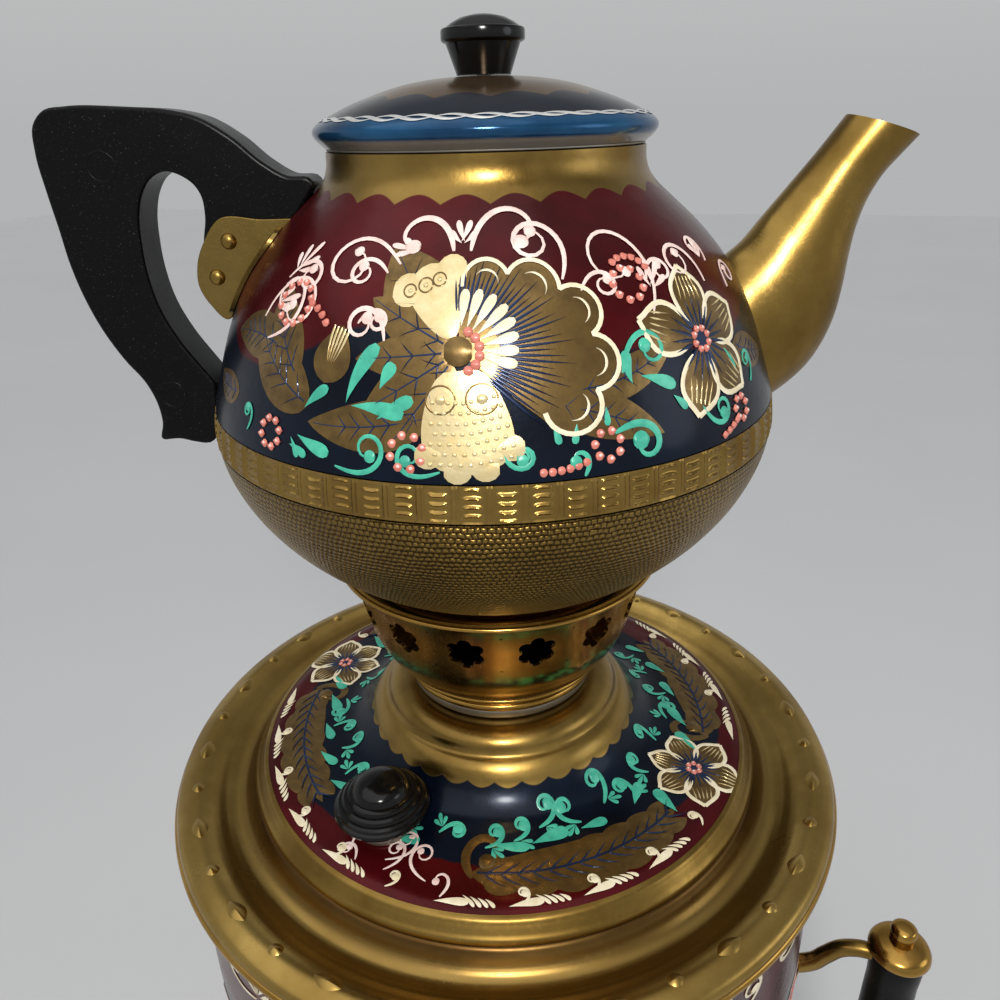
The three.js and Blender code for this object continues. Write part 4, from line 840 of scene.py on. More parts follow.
def pot_spout():
    """The spout: ovals between an upper and a lower line, with the wall run back inside."""
    count, sides, thickness = 90, 72, 0.9
    upper = smooth_line([
        (56.0, 145.9), (58.4, 148.5), (61.2, 150.9), (66.6, 157.6), (71.9, 164.1), (78.0, 171.6),
        (83.7, 179.3),
    ], count)
    lower = smooth_line([
        (68.6, 110.6), (74.1, 114.2), (77.6, 117.1), (81.1, 120.9), (84.3, 126.5), (86.4, 132.8),
        (87.4, 140.0), (87.9, 147.9), (88.7, 154.6), (90.6, 161.1), (93.6, 166.6), (97.0, 170.6),
        (100.4, 174.4),
    ], count)
    widths = [13.6, 11.9, 10.0, 8.6, 7.7, 7.6]
    width = np.interp(np.linspace(0, 1, count), [0, 0.2, 0.4, 0.6, 0.8, 1.0], widths)
    angle = full_turn(sides)

    def ovals(inset):
        """Ovals about the middle line, their half axes less by the inset."""
        middle, half = (upper + lower) / 2, (upper - lower) / 2
        length = np.linalg.norm(half, axis=1, keepdims=True)
        half = half / length * (length - inset)
        flat = middle[:, None] + half[:, None] * np.cos(angle)[None, :, None]
        side = (width - inset)[:, None] * np.sin(angle)
        return np.stack([flat[..., 0], side, flat[..., 1] + BRIM], -1)

    rows = np.concatenate([ovals(0.0), ovals(thickness)[::-1]])
    points = rows.reshape(-1, 3) @ turned_about(TEAPOT_TURN)
    faces = outwards(points, grid_faces(len(rows), sides, ring_rows=True))
    make_piece("pot_spout", "teapot", points, faces, BRASS, replaced=["spout"])


def behind(line):
    """A line of distance and height over the brim, on the handle's side of the axis."""
    return np.stack([-line[:, 0], line[:, 1] + BRIM], 1)


def handle_pieces():
    """The moulded handle as a thick plate with a rounded edge, held in a folded brass clip
    whose two cheeks are riveted on."""
    outer = smooth_line([
        (39.4, 167.7), (40.2, 168.9), (45.8, 169.9), (50.8, 172.9), (56.9, 178.2), (64.3, 182.6),
        (70.4, 184.1), (80.0, 184.9), (92.6, 185.3), (97.5, 184.6), (100.4, 181.8), (101.4, 176.0),
        (101.0, 168.0), (100.2, 159.6), (99.6, 151.9), (98.1, 143.9), (95.4, 135.6), (91.7, 128.2),
        (87.6, 121.9), (85.9, 116.6), (85.6, 111.5), (86.4, 106.8), (84.6, 106.9), (81.9, 107.0),
        (78.0, 106.0), (74.1, 105.7), (72.0, 107.6), (71.3, 111.0), (70.4, 117.0),
    ], 150)
    inner = smooth_line([
        (70.0, 121.4), (72.9, 125.9), (77.0, 132.6), (80.3, 140.5), (81.6, 147.9), (81.7, 155.3),
        (80.9, 162.2), (79.4, 166.5), (76.8, 169.9), (73.3, 171.4), (69.4, 170.2), (67.0, 168.2),
        (66.1, 166.5), (65.8, 161.7), (67.0, 156.4), (67.9, 151.0), (67.5, 146.0), (65.8, 141.5),
        (62.0, 138.9), (60.4, 141.5), (57.6, 146.6), (53.0, 152.4), (48.2, 157.5), (43.6, 162.0),
    ], 130)
    cut_plate("pot_grip", "teapot", behind(np.vstack([outer, inner])), 13.0, BLACK_GRIP,
              bevel=1.9, segments=4, turn=TEAPOT_TURN, replaced=["pot_handle"])
    cheek = smooth_line([
        (44.8, 160.7), (52.0, 160.7), (62.4, 160.9), (66.4, 156.2), (68.9, 150.8), (69.3, 145.9),
        (67.3, 141.5), (63.4, 138.0), (62.6, 138.4),
    ], 70)
    back = smooth_line([(62.0, 139.9), (58.2, 147.2), (52.2, 154.6), (46.0, 160.0)], 20)
    plate = behind(np.vstack([cheek, back]))
    sides = (("near", -1), ("far", 1))
    for name, side in sides:
        shift = np.array([0, side * 7.4, 0]) @ turned_about(TEAPOT_TURN)
        cut_plate(f"clip_cheek_{name}", "teapot", plate, SHEET, BRASS_PLAIN, bevel=0.35,
                  segments=2, turn=TEAPOT_TURN, centre=shift)
    clip_wings()
    dome = np.array([(0.0, 9.2), (0.9, 9.1), (1.45, 8.75), (1.8, 8.3), (1.9, 7.9), (0.0, 7.9)])
    mark = bead_profile(3.2, 6.48, 0.28, 0.14, 12)
    for name, side in sides:
        for k, (spot, node) in enumerate((((60.6, 156.1), "pot_rivet_upper"),
                                          ((64.6, 148.0), "pot_rivet_lower"))):
            on_grip(f"clip_rivet_{name}_{k + 1}", dome, spot, side, BRASS, [node])
        for k, spot in enumerate(((87.1, 172.8), (81.2, 119.0))):
            on_grip(f"grip_mark_{name}_{k + 1}", mark, spot, side, BLACK_GRIP, [])


def on_grip(name, profile, spot, side, finish, nodes):
    """A turned piece whose axis stands across the grip, at a distance and height on its plane.
    A profile that starts on its own axis is closed there, and any other is a ring."""
    sides = 40
    ring = profile[0, 0] > 0
    flat = turned_points(profile, sides)
    points = np.stack([flat[:, 0] - spot[0], side * flat[:, 2], BRIM + spot[1] + flat[:, 1]], 1)
    points = points @ turned_about(TEAPOT_TURN)
    faces = outwards(points, grid_faces(len(profile), sides, ring_rows=ring))
    make_piece(name, "teapot", points, faces, finish, welded=not ring, replaced=nodes)


def clip_wings():
    """Two flanges of the clip that lie on the pot: grids of turn and height on the pot's own
    profile, lifted off it by the sheet's thickness, with a rounded outline."""
    rows, cols = 30, 18
    size = rows * cols
    v = np.linspace(0, 1, rows)[:, None]
    z = BRIM + 139.6 + 19.4 * v
    base = radius_on(POT_LINE, z)
    reach = 7.0 * np.sqrt(np.clip(1 - (2 * v - 1) ** 6, 0.02, 1))
    away = 6.8 + reach * np.linspace(0, 1, cols)[None, :]
    row, col = np.arange(rows), np.arange(cols)
    edge = np.concatenate([col, row[1:] * cols + cols - 1, (rows - 1) * cols + col[:-1][::-1],
                           row[1:-1][::-1] * cols])
    after = np.roll(edge, -1)
    rim = np.stack([edge, edge + size, after + size, after], 1)
    sheet = grid_faces(rows, cols, ring_cols=False)
    cells = np.vstack([sheet, sheet[:, ::-1] + size, rim])
    for name, side, nodes in (("near", 1, ["pot_bracket"]), ("far", -1, [])):
        angle = np.pi + TEAPOT_TURN + side * away / base
        sheets = [polar(base + lift, angle, z).reshape(-1, 3) for lift in (0.25, 1.35)]
        points = np.concatenate(sheets)
        make_piece(f"clip_wing_{name}", "teapot", points, outwards(points, cells), BRASS_PLAIN,
                   replaced=nodes)


POT_LID_LINE = smooth_line(over(BRIM + 176.1, [
    (36.4, -1.2), (37.2, -0.5), (38.5, 0.7), (39.3, 2.0), (39.2, 3.0), (38.2, 4.1), (35.6, 5.5),
    (32.0, 7.2), (26.0, 9.4), (18.0, 11.6), (10.0, 12.7), (2.6, 12.9),
]), 90)


def pot_lid_pieces():
    """The pot lid's turned shell, the bare band that sits in the pot's neck, and a black knob
    with a waist and a rounded head."""
    turned("pot_lid_shell", "teapot_lid", wall(POT_LID_LINE, THIN_SHEET), POT_LID_PAINT,
           replaced=["pot_lid"])
    band = over(BRIM, [(34.3, 166.3), (35.3, 166.3), (35.3, 174.7), (36.6, 174.7), (36.6, 175.3),
                       (36.0, 175.9), (34.3, 175.9)])
    turned("pot_lid_band", "teapot_lid", rounded(band, 0.3), ALUMINIUM,
           replaced=["pot_lid_collar"])
    knob = over(BRIM + 189.3, [
        (0.0, 0.0), (6.1, 0.0), (6.2, 0.4), (7.2, 3.2), (8.2, 6.0), (8.3, 6.3), (9.0, 6.6),
        (9.3, 6.9), (9.35, 7.2), (9.35, 8.7), (9.2, 9.1), (8.9, 9.25), (8.5, 9.3), (7.2, 10.2),
        (5.2, 11.2), (2.6, 11.8), (0.0, 11.9),
    ])
    turned("pot_lid_grip", "teapot_lid", knob, BLACK_GLOSS, sides=96, sharp=25,
           replaced=["pot_lid_knob"])


# Side handles

def side_handles():
    """Each handle: a turned grip, two flared caps with finials, and two arms that leave the
    grip near its ends and sweep in and towards each other to the body, each to a boss that is
    turned about the line along which it looks outwards."""
    reach, middle, root, steps, boss_sides = 125, 172.0, 15.2, 48, 40
    grip = smooth_line([(0.0, -36.0), (6.6, -36.0), (7.0, -34.5), (7.25, -20), (7.3, 0),
                        (7.25, 20), (7.0, 34.5), (6.6, 36.0), (0.0, 36.0)], 80)
    grip[0, 0] = grip[-1, 0] = 0.0
    cap = np.array([
        (0.0, 36.3), (7.5, 36.3), (7.7, 35.4), (8.3, 34.0), (8.75, 33.6), (8.9, 34.0), (8.8, 34.9),
        (8.3, 35.9), (7.6, 36.7), (6.0, 37.3), (4.6, 37.7), (3.5, 38.0), (3.4, 38.4), (3.6, 40.2),
        (3.75, 42.0), (3.6, 43.1), (2.9, 43.8), (1.6, 44.1), (0.0, 44.15),
    ])
    route = smooth_line([(95.0, root), (98.6, 16.6), (102.4, 19.2), (105.6, 23.6), (109.4, 28.0),
                         (114.0, 30.0), (119.5, 30.2)], steps)
    thick = np.interp(np.linspace(0, 1, steps), [0, 0.3, 0.7, 1], [3.0, 2.7, 2.5, 2.5])
    plate = rounded([(0.0, -1.4), (5.4, -1.4), (5.6, 0.6), (3.4, 1.9), (0.0, 1.9)], 0.5,
                    closed=False)
    boss = turned_points(plate, boss_sides)
    for name, turn in (("right", 0.0), ("left", np.pi)):
        c, s = np.cos(turn), np.sin(turn)
        spot = (reach * c, reach * s, middle)
        turned(f"handle_{name}_bar", "samovar", grip, BLACK_GRIP, sides=64, centre=spot,
               replaced=[f"handle_grip_{name}"])
        for end, way in (("top", 1), ("bottom", -1)):
            turned(f"handle_{name}_cap_{end}", "samovar", cap * (1, way), BRASS_POLISHED, sides=64,
                   centre=spot, replaced=[f"handle_cap_{name}_{end}"])
        for end, way in (("upper", 1), ("lower", -1)):
            path = np.stack([route[:, 0] * c, route[:, 0] * s, middle + way * route[:, 1]], 1)
            swept(f"handle_{name}_arm_{end}", "samovar", path, thick, BRASS, (-s, c, 0), 28,
                  replaced=[f"handle_arm_{name}_{end}"])
            height = middle + way * root
            out = radius_on(BODY_LINE, height) + boss[:, 2]
            points = np.stack([out * c - boss[:, 1] * s, out * s + boss[:, 1] * c,
                               height + boss[:, 0]], 1)
            faces = outwards(points, grid_faces(len(plate), boss_sides))
            make_piece(f"handle_{name}_boss_{end}", "samovar", points, faces, BRASS_POLISHED,
                       welded=True)


# Tap

def tap_pieces():
    """Turned tube, barrel and flanges, a swept spout, and a flat key with a shaped outline."""
    reach, height, steps = 112.0, 96.0, 40
    flange = rounded([(6.8, 76.0), (12.6, 80.0), (13.4, 84.2), (12.2, 85.4), (9.6, 86.6),
                      (6.8, 86.6)], 0.7)
    turned("tap_rose", "samovar", flange, BRASS_POLISHED, sides=96, centre=(0, 0, height),
           axis="y", replaced=["tap_escutcheon"])
    tube = [(3.8, 64.0), (6.5, 64.0), (6.5, 86.8), (9.4, 86.9), (10.0, 87.6), (9.8, 88.8),
            (8.4, 89.6), (7.1, 91.4), (6.6, 94.0), (6.5, 99.0), (7.0, 102.0), (7.8, 104.4),
            (3.8, 104.4)]
    turned("tap_tube", "samovar", tube, BRASS_POLISHED, sides=96, centre=(0, 0, height), axis="y")
    spot = (0, -reach, height)
    barrel = [(6.3, -13.0), (8.4, -13.0), (8.9, -12.2), (8.5, -11.2), (8.2, -9.0), (8.8, -6.5),
              (9.0, 0.0), (8.8, 6.5), (8.2, 9.0), (8.5, 11.2), (8.9, 12.2), (8.4, 13.0),
              (6.3, 13.0)]
    turned("tap_barrel", "samovar", barrel, BRASS_POLISHED, sides=96, centre=spot,
           replaced=["tap_body"])
    route = smooth_line([(8.2, 0.0), (12.0, 0.0), (16.8, -1.6), (20.4, -6.0), (21.5, -12.0),
                         (21.5, -20.0)], steps)
    path = np.stack([0 * route[:, 0], -reach - route[:, 0], height + route[:, 1]], 1)
    thick = np.interp(np.linspace(0, 1, steps), [0, 0.15, 0.8, 0.9, 1], [7.2, 6.4, 6.2, 6.5, 6.5])
    swept("tap_spout", "samovar", path, thick, BRASS_POLISHED, (1, 0, 0), 48, bore=3.8)
    stem = [(0.0, -21.0), (3.0, -21.0), (3.0, -12.6), (6.0, -12.6), (6.0, 13.3), (7.5, 13.4),
            (7.7, 14.2), (7.5, 15.2), (5.2, 15.6), (4.0, 16.4), (4.0, 24.0), (0.0, 24.0)]
    acorn = [(0.0, -22.6), (1.6, -22.2), (2.9, -21.2), (3.2, -20.0), (4.6, -18.9), (6.6, -18.2),
             (7.3, -17.2), (7.2, -15.6), (6.2, -14.8), (3.3, -14.8), (0.0, -14.8)]
    washer = box_profile(3.3, 7.5, -14.5, -13.3, 0.3)
    for name, profile, node in (("plug", stem, "tap_plug"), ("washer", washer, "tap_plug_washer"),
                                ("nut", acorn, "tap_plug_nut")):
        turned(f"tap_key_{name}", "tap_key", profile, BRASS_POLISHED, sides=64, centre=spot,
               replaced=[node])
    hub = [(4.3, 15.7), (6.2, 15.7), (6.6, 16.8), (6.2, 18.2), (5.6, 20.4), (5.4, 23.6),
           (5.8, 26.0), (4.3, 26.3)]
    turned("tap_key_hub", "tap_key", hub, BLACK_GLOSS, sides=64, centre=spot)
    half = [(4.6, 24.0), (5.8, 27.6), (10.8, 29.6), (13.0, 34.0), (12.8, 39.0), (10.0, 42.6),
            (5.6, 42.4), (3.0, 44.6)]
    mirrored = [(-across, up) for across, up in half[::-1]]
    blade = rounded([(-4.6, 24.0), *half, (0.0, 46.2), *mirrored[:-1]], 2.6, steps=6)
    cut_plate("tap_key_blade", "tap_key", blade, 6.8, BLACK_GLOSS, bevel=1.8, segments=4,
              centre=spot, replaced=["tap_lever"])


# CAD nodes that keep their own shape

def dress_nodes():
    """Each shown CAD node's material slots take a finish of this scene."""
    finishes = {
        BLACK_GRIP: ["base_tray", "power_inlet", "thermal_cutout"],
        STEEL: ["base_bracket", "tie_rod", "tie_nut", "base_screw_left", "base_screw_right",
                "heating_element", "lid_screw_front", "lid_screw_back", "pot_lid_screw"],
        BRASS_PLAIN: ["heater_flange", "heater_nut", "tap_inner_nut"],
        RUBBER: ["heater_seal", "tap_washer"],
        ALUMINIUM: ["inlet_pin_left", "inlet_pin_right"],
        SLEEVE: ["lead_wire_left", "lead_wire_right"],
    }
    for finish, names in finishes.items():
        for name in names:
            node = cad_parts[name]
            node.data.materials.clear()
            node.data.materials.append(finish)


# Brushed ornament: strokes, dots and petals laid on the turned skins

# How far each layer of paint stands over the skin, and how far a stroke's edge is sunk in it
GROUND, PETAL, LINE, BEAD = 0.05, 0.12, 0.2, 0.24
SUNK = 0.15


def skin(name, line, body, slot):
    """A turned surface to paint on, with the length run along its line and its normals."""
    run = np.r_[0, np.cumsum(np.linalg.norm(np.diff(line, axis=0), axis=1))]
    return {"name": name, "line": line, "run": run, "normal": -left_of(line), "body": body,
            "slot": slot, "paint": {}}


def spot_at(surface, turn, radius=None, height=None, size=1.0):
    """A spot on a skin by its turn in degrees and its radius or its height over the brim."""
    line, run = surface["line"], surface["run"]
    if radius is None:
        along = np.interp(BRIM + height, line[:, 1], run)
    else:
        along = np.interp(-radius, -line[:, 0], run)
    return np.radians(turn), along, size


def beside(surface, spot, across, up):
    """The spot that lies across and up from another one, in that one's own scale."""
    turn, along, scale = spot
    radius = np.interp(along, surface["run"], surface["line"][:, 0])
    return turn + across * scale / radius, along + up * scale, scale


def on_skin(surface, spot, flat, lift):
    """Flat places, across plus up times i, carried onto a skin. Across becomes a turn at the
    spot's radius, up becomes length along the line, and the lift runs along the normal."""
    turn, along, size = spot
    line, run = surface["line"], surface["run"]
    at = along + flat.imag * size
    columns = (*line.T, *surface["normal"].T)
    r, z, out, rise = (np.interp(at, run, column) for column in columns)
    angle = turn + flat.real * size / np.interp(along, run, line[:, 0])
    return polar(r + lift * out, angle, z + lift * rise)


def toward(aim):
    """A step of length 1 across plus up times i, in a direction given in degrees."""
    return np.exp(1j * np.radians(aim))


def patch(surface, ink, spot, left, right, lift, rise, across):
    """Paint between two edge lines: rows across from edge to edge with a domed top, one row
    sunk beneath, and each end drawn to the middle of its two edges."""
    left = np.r_[(left[0] + right[0]) / 2, left, (left[-1] + right[-1]) / 2]
    right = np.r_[left[0], right, left[-1]]
    side = np.r_[np.linspace(-1, 1, across), 0]
    flat = right[:, None] * (1 - side) / 2 + left[:, None] * (1 + side) / 2
    wide = np.abs(left - right)
    swell = np.clip(wide / (0.35 * wide.max()), 0, 1)[:, None]
    top = lift + rise * (1 - side**2) * swell
    top[:, -1] = lift - (lift + SUNK) * swell[:, 0]
    surface["paint"].setdefault(ink, []).append(on_skin(surface, spot, flat, top))


def brush(surface, ink, spot, line, half, lift=LINE, rise=0.12, across=3):
    """A stroke: a patch whose edges stand half a width to each side of its line."""
    heading = np.gradient(line)
    side = 1j * heading / np.abs(heading) * half
    patch(surface, ink, spot, line + side, line - side, lift, rise, across)


def drawn(start, length, aim, bend, power=1.0, steps=12):
    """A line whose heading starts at aim and swings by bend, slowly first if power is over 1."""
    t = np.linspace(0, 1, steps)
    heading = toward(aim + bend * t**power)
    return start + length * np.r_[0, np.cumsum((heading[1:] + heading[:-1]) / 2)] / (steps - 1)


def dot(surface, ink, spot, middle, radius, lift=BEAD, rise=0.5):
    """A round bead of paint: a short patch whose half width follows a circle."""
    way = np.linspace(0, np.pi, 8)[1:-1]
    line = middle - radius * np.cos(way)
    side = 1j * radius * np.sin(way)
    patch(surface, ink, spot, line + side, line - side, lift, rise * radius, 4)


def comma(surface, ink, spot, start, length, aim, bend, width, lift=LINE):
    """A drop that is fat near its start and runs out thin."""
    steps = 11
    t = np.linspace(0.02, 1, steps)
    line = drawn(start, length, aim, bend, 1.0, steps)
    brush(surface, ink, spot, line, width / 2 * np.sin(np.pi * t**0.5), lift)


def curl(surface, ink, spot, start, length, aim, wind, width, power=2.0, knob=0.95, lift=LINE):
    """A scroll that tightens as it goes, with a bead at its inner end."""
    steps = 24
    t = np.linspace(0, 1, steps)
    line = drawn(start, length, aim, wind, power, steps)
    brush(surface, ink, spot, line, width * 0.4 * (0.35 + 0.65 * np.sin(np.pi * t**0.7)), lift)
    dot(surface, ink, spot, line[-1], knob * width, lift, 0.25)


def spray(surface, ink, spot, start, aim, count, length, width=1.3, fan=22.0):
    """A fan of commas from one place, longest in the middle, with their fat ends outwards."""
    for k in range(count):
        off = k - (count - 1) / 2
        way = aim + fan * off
        reach = length * (1 - 0.22 * abs(off))
        tip = start + reach * toward(way)
        comma(surface, ink, spot, tip, reach * 0.8, way + 180, 14.0 * np.sign(off), width)


def berries(surface, spot, middle, ring, count, size=0.85):
    """A ring of beads, each with a pale glint above and to the right."""
    for way in np.arange(count) * 2 * np.pi / count + 0.3:
        place = middle + ring * np.exp(1j * way)
        dot(surface, "salmon", spot, place, size)
        glint = place + (0.12 + 0.2j) * size
        dot(surface, "pink", spot, glint, 0.4 * size, BEAD + 0.42 * size, 0.2)


def leaf(surface, spot, start, length, aim, bend, width, veins=5, lift=GROUND):
    """A leaf: broad patch along a bent rib, with the rib and pairs of veins drawn in navy."""
    steps = 18
    t = np.linspace(0.0, 1, steps)
    rib = drawn(start, length, aim, bend, 1.0, steps)
    half = width / 2 * np.sin(np.pi * t**0.75) ** 0.8
    brush(surface, "brown", spot, rib, half, lift, 0.1, 7)
    if not veins:
        return
    brush(surface, "navy", spot, rib[1:-1], 0.22 * (1 - 0.7 * t[1:-1]), lift + 0.1, 0.05)
    heading = np.angle(np.gradient(rib), deg=True)
    for k in range(veins):
        at = int(round((0.14 + 0.66 * k / veins) * (steps - 1)))
        reach = 0.95 * half[min(at + 2, steps - 1)]
        for side in (-1, 1):
            comma(surface, "navy", spot, rib[at], reach, heading[at] + side * 42, side * 16.0, 0.36,
                  lift + 0.08)


def pointed_petal(surface, spot, middle, aim, length, width):
    """A brown petal with a painted outline and dark and light hairlines. Its half width is a
    power of a sine, and the power grows towards the tip, which draws the tip in to a point."""
    steps = 14
    t = np.linspace(0, 1, steps)
    way = toward(aim)
    power = np.interp(t, [0, 0.6, 1], [0.6, 0.6, 1.25])
    half = width * 0.54 * np.sin(np.pi * t**1.2).clip(0) ** power
    rib = middle + way * length * (0.1 + 0.9 * t)
    side = 1j * way * half
    patch(surface, "brown", spot, rib + side, rib - side, PETAL, 0.16, 7)
    for rim in (rib - side, rib + side):
        rim = rim[2:]
        thick = np.interp(np.linspace(0, 1, len(rim)), [0, 0.15, 1], [0.5, 1, 1.1])
        brush(surface, "cream", spot, rim, 1.05 / 2 * thick)
    for k in range(-2, 3):
        off = k * 0.16
        start = middle + way * length * 0.16 * (1 + 1j * off * 2)
        reach = length * (0.42 - 0.05 * abs(k))
        comma(surface, "navy", spot, start, reach, aim + 20 * k * 0.8, 0.0, 0.75, PETAL + 0.15)
        tip = middle + way * length * (0.84 + 1j * off * width / length * 0.75)
        comma(surface, "pale", spot, tip, length * 0.32, aim + 180 - 5 * k, 0.0, 0.4, PETAL + 0.15)


def small_flower(surface, spot, aims, length, width, ring=2.2, count=8, bead=0.8):
    """Pointed petals round a ring of beads on a dark disc."""
    for k, aim in enumerate(aims):
        pointed_petal(surface, spot, 0j, aim, length * (1 + 0.06 * (k % 2)), width)
    half = ring * np.sqrt(1 - np.linspace(-0.99, 0.99, 9) ** 2)
    brush(surface, "navy", spot, np.linspace(-ring, ring, 9) + 0j, half, PETAL + 0.12, 0.05, 5)
    berries(surface, spot, 0j, ring, count, bead)


def scalloped_rim(middles, radii, start, end):
    """One line round a row of overlapping circles, clockwise: on each circle it runs between
    the outer crossings with its neighbours. Two circles cross at a share of the way between
    their middles, and to the side by the rest of the radius."""
    crossings = []
    for k in range(len(middles) - 1):
        apart = middles[k + 1] - middles[k]
        along = (radii[k] ** 2 - radii[k + 1] ** 2 + abs(apart) ** 2) / (2 * abs(apart))
        beside_line = 1j * np.sqrt(max(radii[k] ** 2 - along**2, 0.0))
        pair = [middles[k] + (along + side * beside_line) * apart / abs(apart) for side in (1, -1)]
        crossings.append(max(pair, key=abs))
    arcs = []
    for k, (middle, radius) in enumerate(zip(middles, radii)):
        first = np.radians(start) if k == 0 else np.angle(crossings[k - 1] - middle)
        last = np.radians(end) if k == len(middles) - 1 else np.angle(crossings[k] - middle)
        way = np.linspace(first, first - (first - last) % (2 * np.pi), 14)
        arcs.append(middle + radius * np.exp(1j * way))
    return np.concatenate(arcs)


def pale_petal(surface, spot, aim, length, width, scallops, dotted, swell):
    """A pale gold petal: a tongue that widens from the middle by a power of the distance, with
    round scallops on its end, and rows of low beads of its own colour over it."""
    steps = 16
    t = np.linspace(0.02, 1, steps)
    way = toward(aim)
    half = width / 2 * t**swell * np.sqrt(1 - 0.97 * t**5)
    rib = way * length * (0.14 + 0.86 * t)
    side = 1j * way * half
    patch(surface, "pale", spot, rib + side, rib - side, PETAL + 0.14, 0.16, 9)
    for k in range(scallops):
        off = (k - (scallops - 1) / 2) / max(scallops - 1, 1)
        place = way * (length * (0.98 - 0.16 * (2 * off) ** 2) + 1j * off * width * 0.74)
        dot(surface, "pale", spot, place, width / scallops * 0.52, PETAL + 0.12, 0.06)
    for row in range(dotted):
        share = 0.42 + 0.5 * row / max(dotted - 1, 1)
        reach = width * 0.42 * share**swell
        for k in range(9):
            off = (k - 4 + 0.5 * (row % 2)) / 4.6
            place = way * (length * share - 0.8 * abs(off) + 1j * off * reach)
            dot(surface, "pale", spot, place, 0.42, PETAL + 0.32, 0.55)


def big_flower(surface, spot):
    """The main bloom: round brown lobes with cream rims above and to the right, a hatched
    fan with pale strokes, and two pale gold petals to the upper left and below."""
    middles = np.array([5.3 + 13.2j, 14.8 + 11.9j, 22.9 + 6.5j, 24.5 - 3.2j, 20.0 - 10.8j])
    radii = [4.9, 5.7, 5.2, 5.2, 5.2]
    rim = scalloped_rim(middles, radii, 190, 190)
    patch(surface, "brown", spot, rim, 2.2 * rim / abs(rim), PETAL + 0.05, 0.08, 7)
    brush(surface, "cream", spot, rim, 0.46 + 0 * rim.real, PETAL + 0.2)
    thin_ends = np.sin(np.pi * np.linspace(0.06, 0.94, 14))
    for middle, radius in zip(middles, radii):
        way = np.angle(middle) + np.radians(np.linspace(75, -75, 14))
        arc = middle + 0.52 * radius * np.exp(1j * way)
        brush(surface, "cream", spot, arc, 0.26 * thin_ends, PETAL + 0.2)
    for k, aim in enumerate(np.linspace(94, -44, 36)):
        reach = 7.5 + 1.8 * (k % 3) + 3.0 * np.cos(np.radians(aim))
        comma(surface, "navy", spot, 7.6 * toward(aim), reach, aim, 0.0, 0.66, PETAL + 0.16)
    for k in range(8):
        aim = 84 - 14.0 * k
        reach = 11.8 + 0.9 * np.sin(k * 0.7)
        comma(surface, "cream", spot, reach * toward(aim), reach - 4.6, aim + 180, 0.0, 2.0,
              PETAL + 0.26)
    for aim, length, width in ((128, 25, 16), (152, 19, 9), (186, 18, 8.5), (214, 19, 9),
                               (236, 20, 8)):
        leaf(surface, spot, 2 * toward(aim), length, aim, 0.0, width, 3, PETAL - 0.02)
    pale_petal(surface, spot, 115, 18.5, 13.5, 2, 0, 0.5)
    pale_petal(surface, spot, -84, 22.5, 19.0, 4, 7, 0.3)
    for middle, size in ((-3.0 - 8.8j, 2.6), (4.2 - 8.6j, 2.8), (-7.2 + 12.6j, 1.5),
                         (-10.4 + 11.4j, 1.3), (-4.4 + 13.8j, 1.4)):
        circle = middle + size * np.exp(1j * np.linspace(0, 1.9 * np.pi, 22))
        brush(surface, "brown", spot, circle, 0.16 + 0 * circle.real, PETAL + 0.36, 0.06)
        dot(surface, "pale", spot, middle, size * 0.36, PETAL + 0.30, 0.5)
    dot(surface, "brown", spot, 0j, 2.8, PETAL + 0.34, 0.2)
    for aim in range(-62, 88, 25):
        dot(surface, "salmon", spot, 4.0 * toward(aim), 0.95, BEAD + 0.22)


def bud(surface, spot):
    """A closed bud: an oval with pale hairlines from its tip."""
    aim = 78.0
    way = toward(aim)
    leaf(surface, spot, -5 * way, 11.5, aim, 0.0, 8.6, 0, PETAL)
    for k in range(-2, 3):
        start = 6.0 * way + k * 1.3j * way * 0.7
        comma(surface, "pale", spot, start, 7.0, aim + 180, k * 9.0, 0.5, PETAL + 0.2)


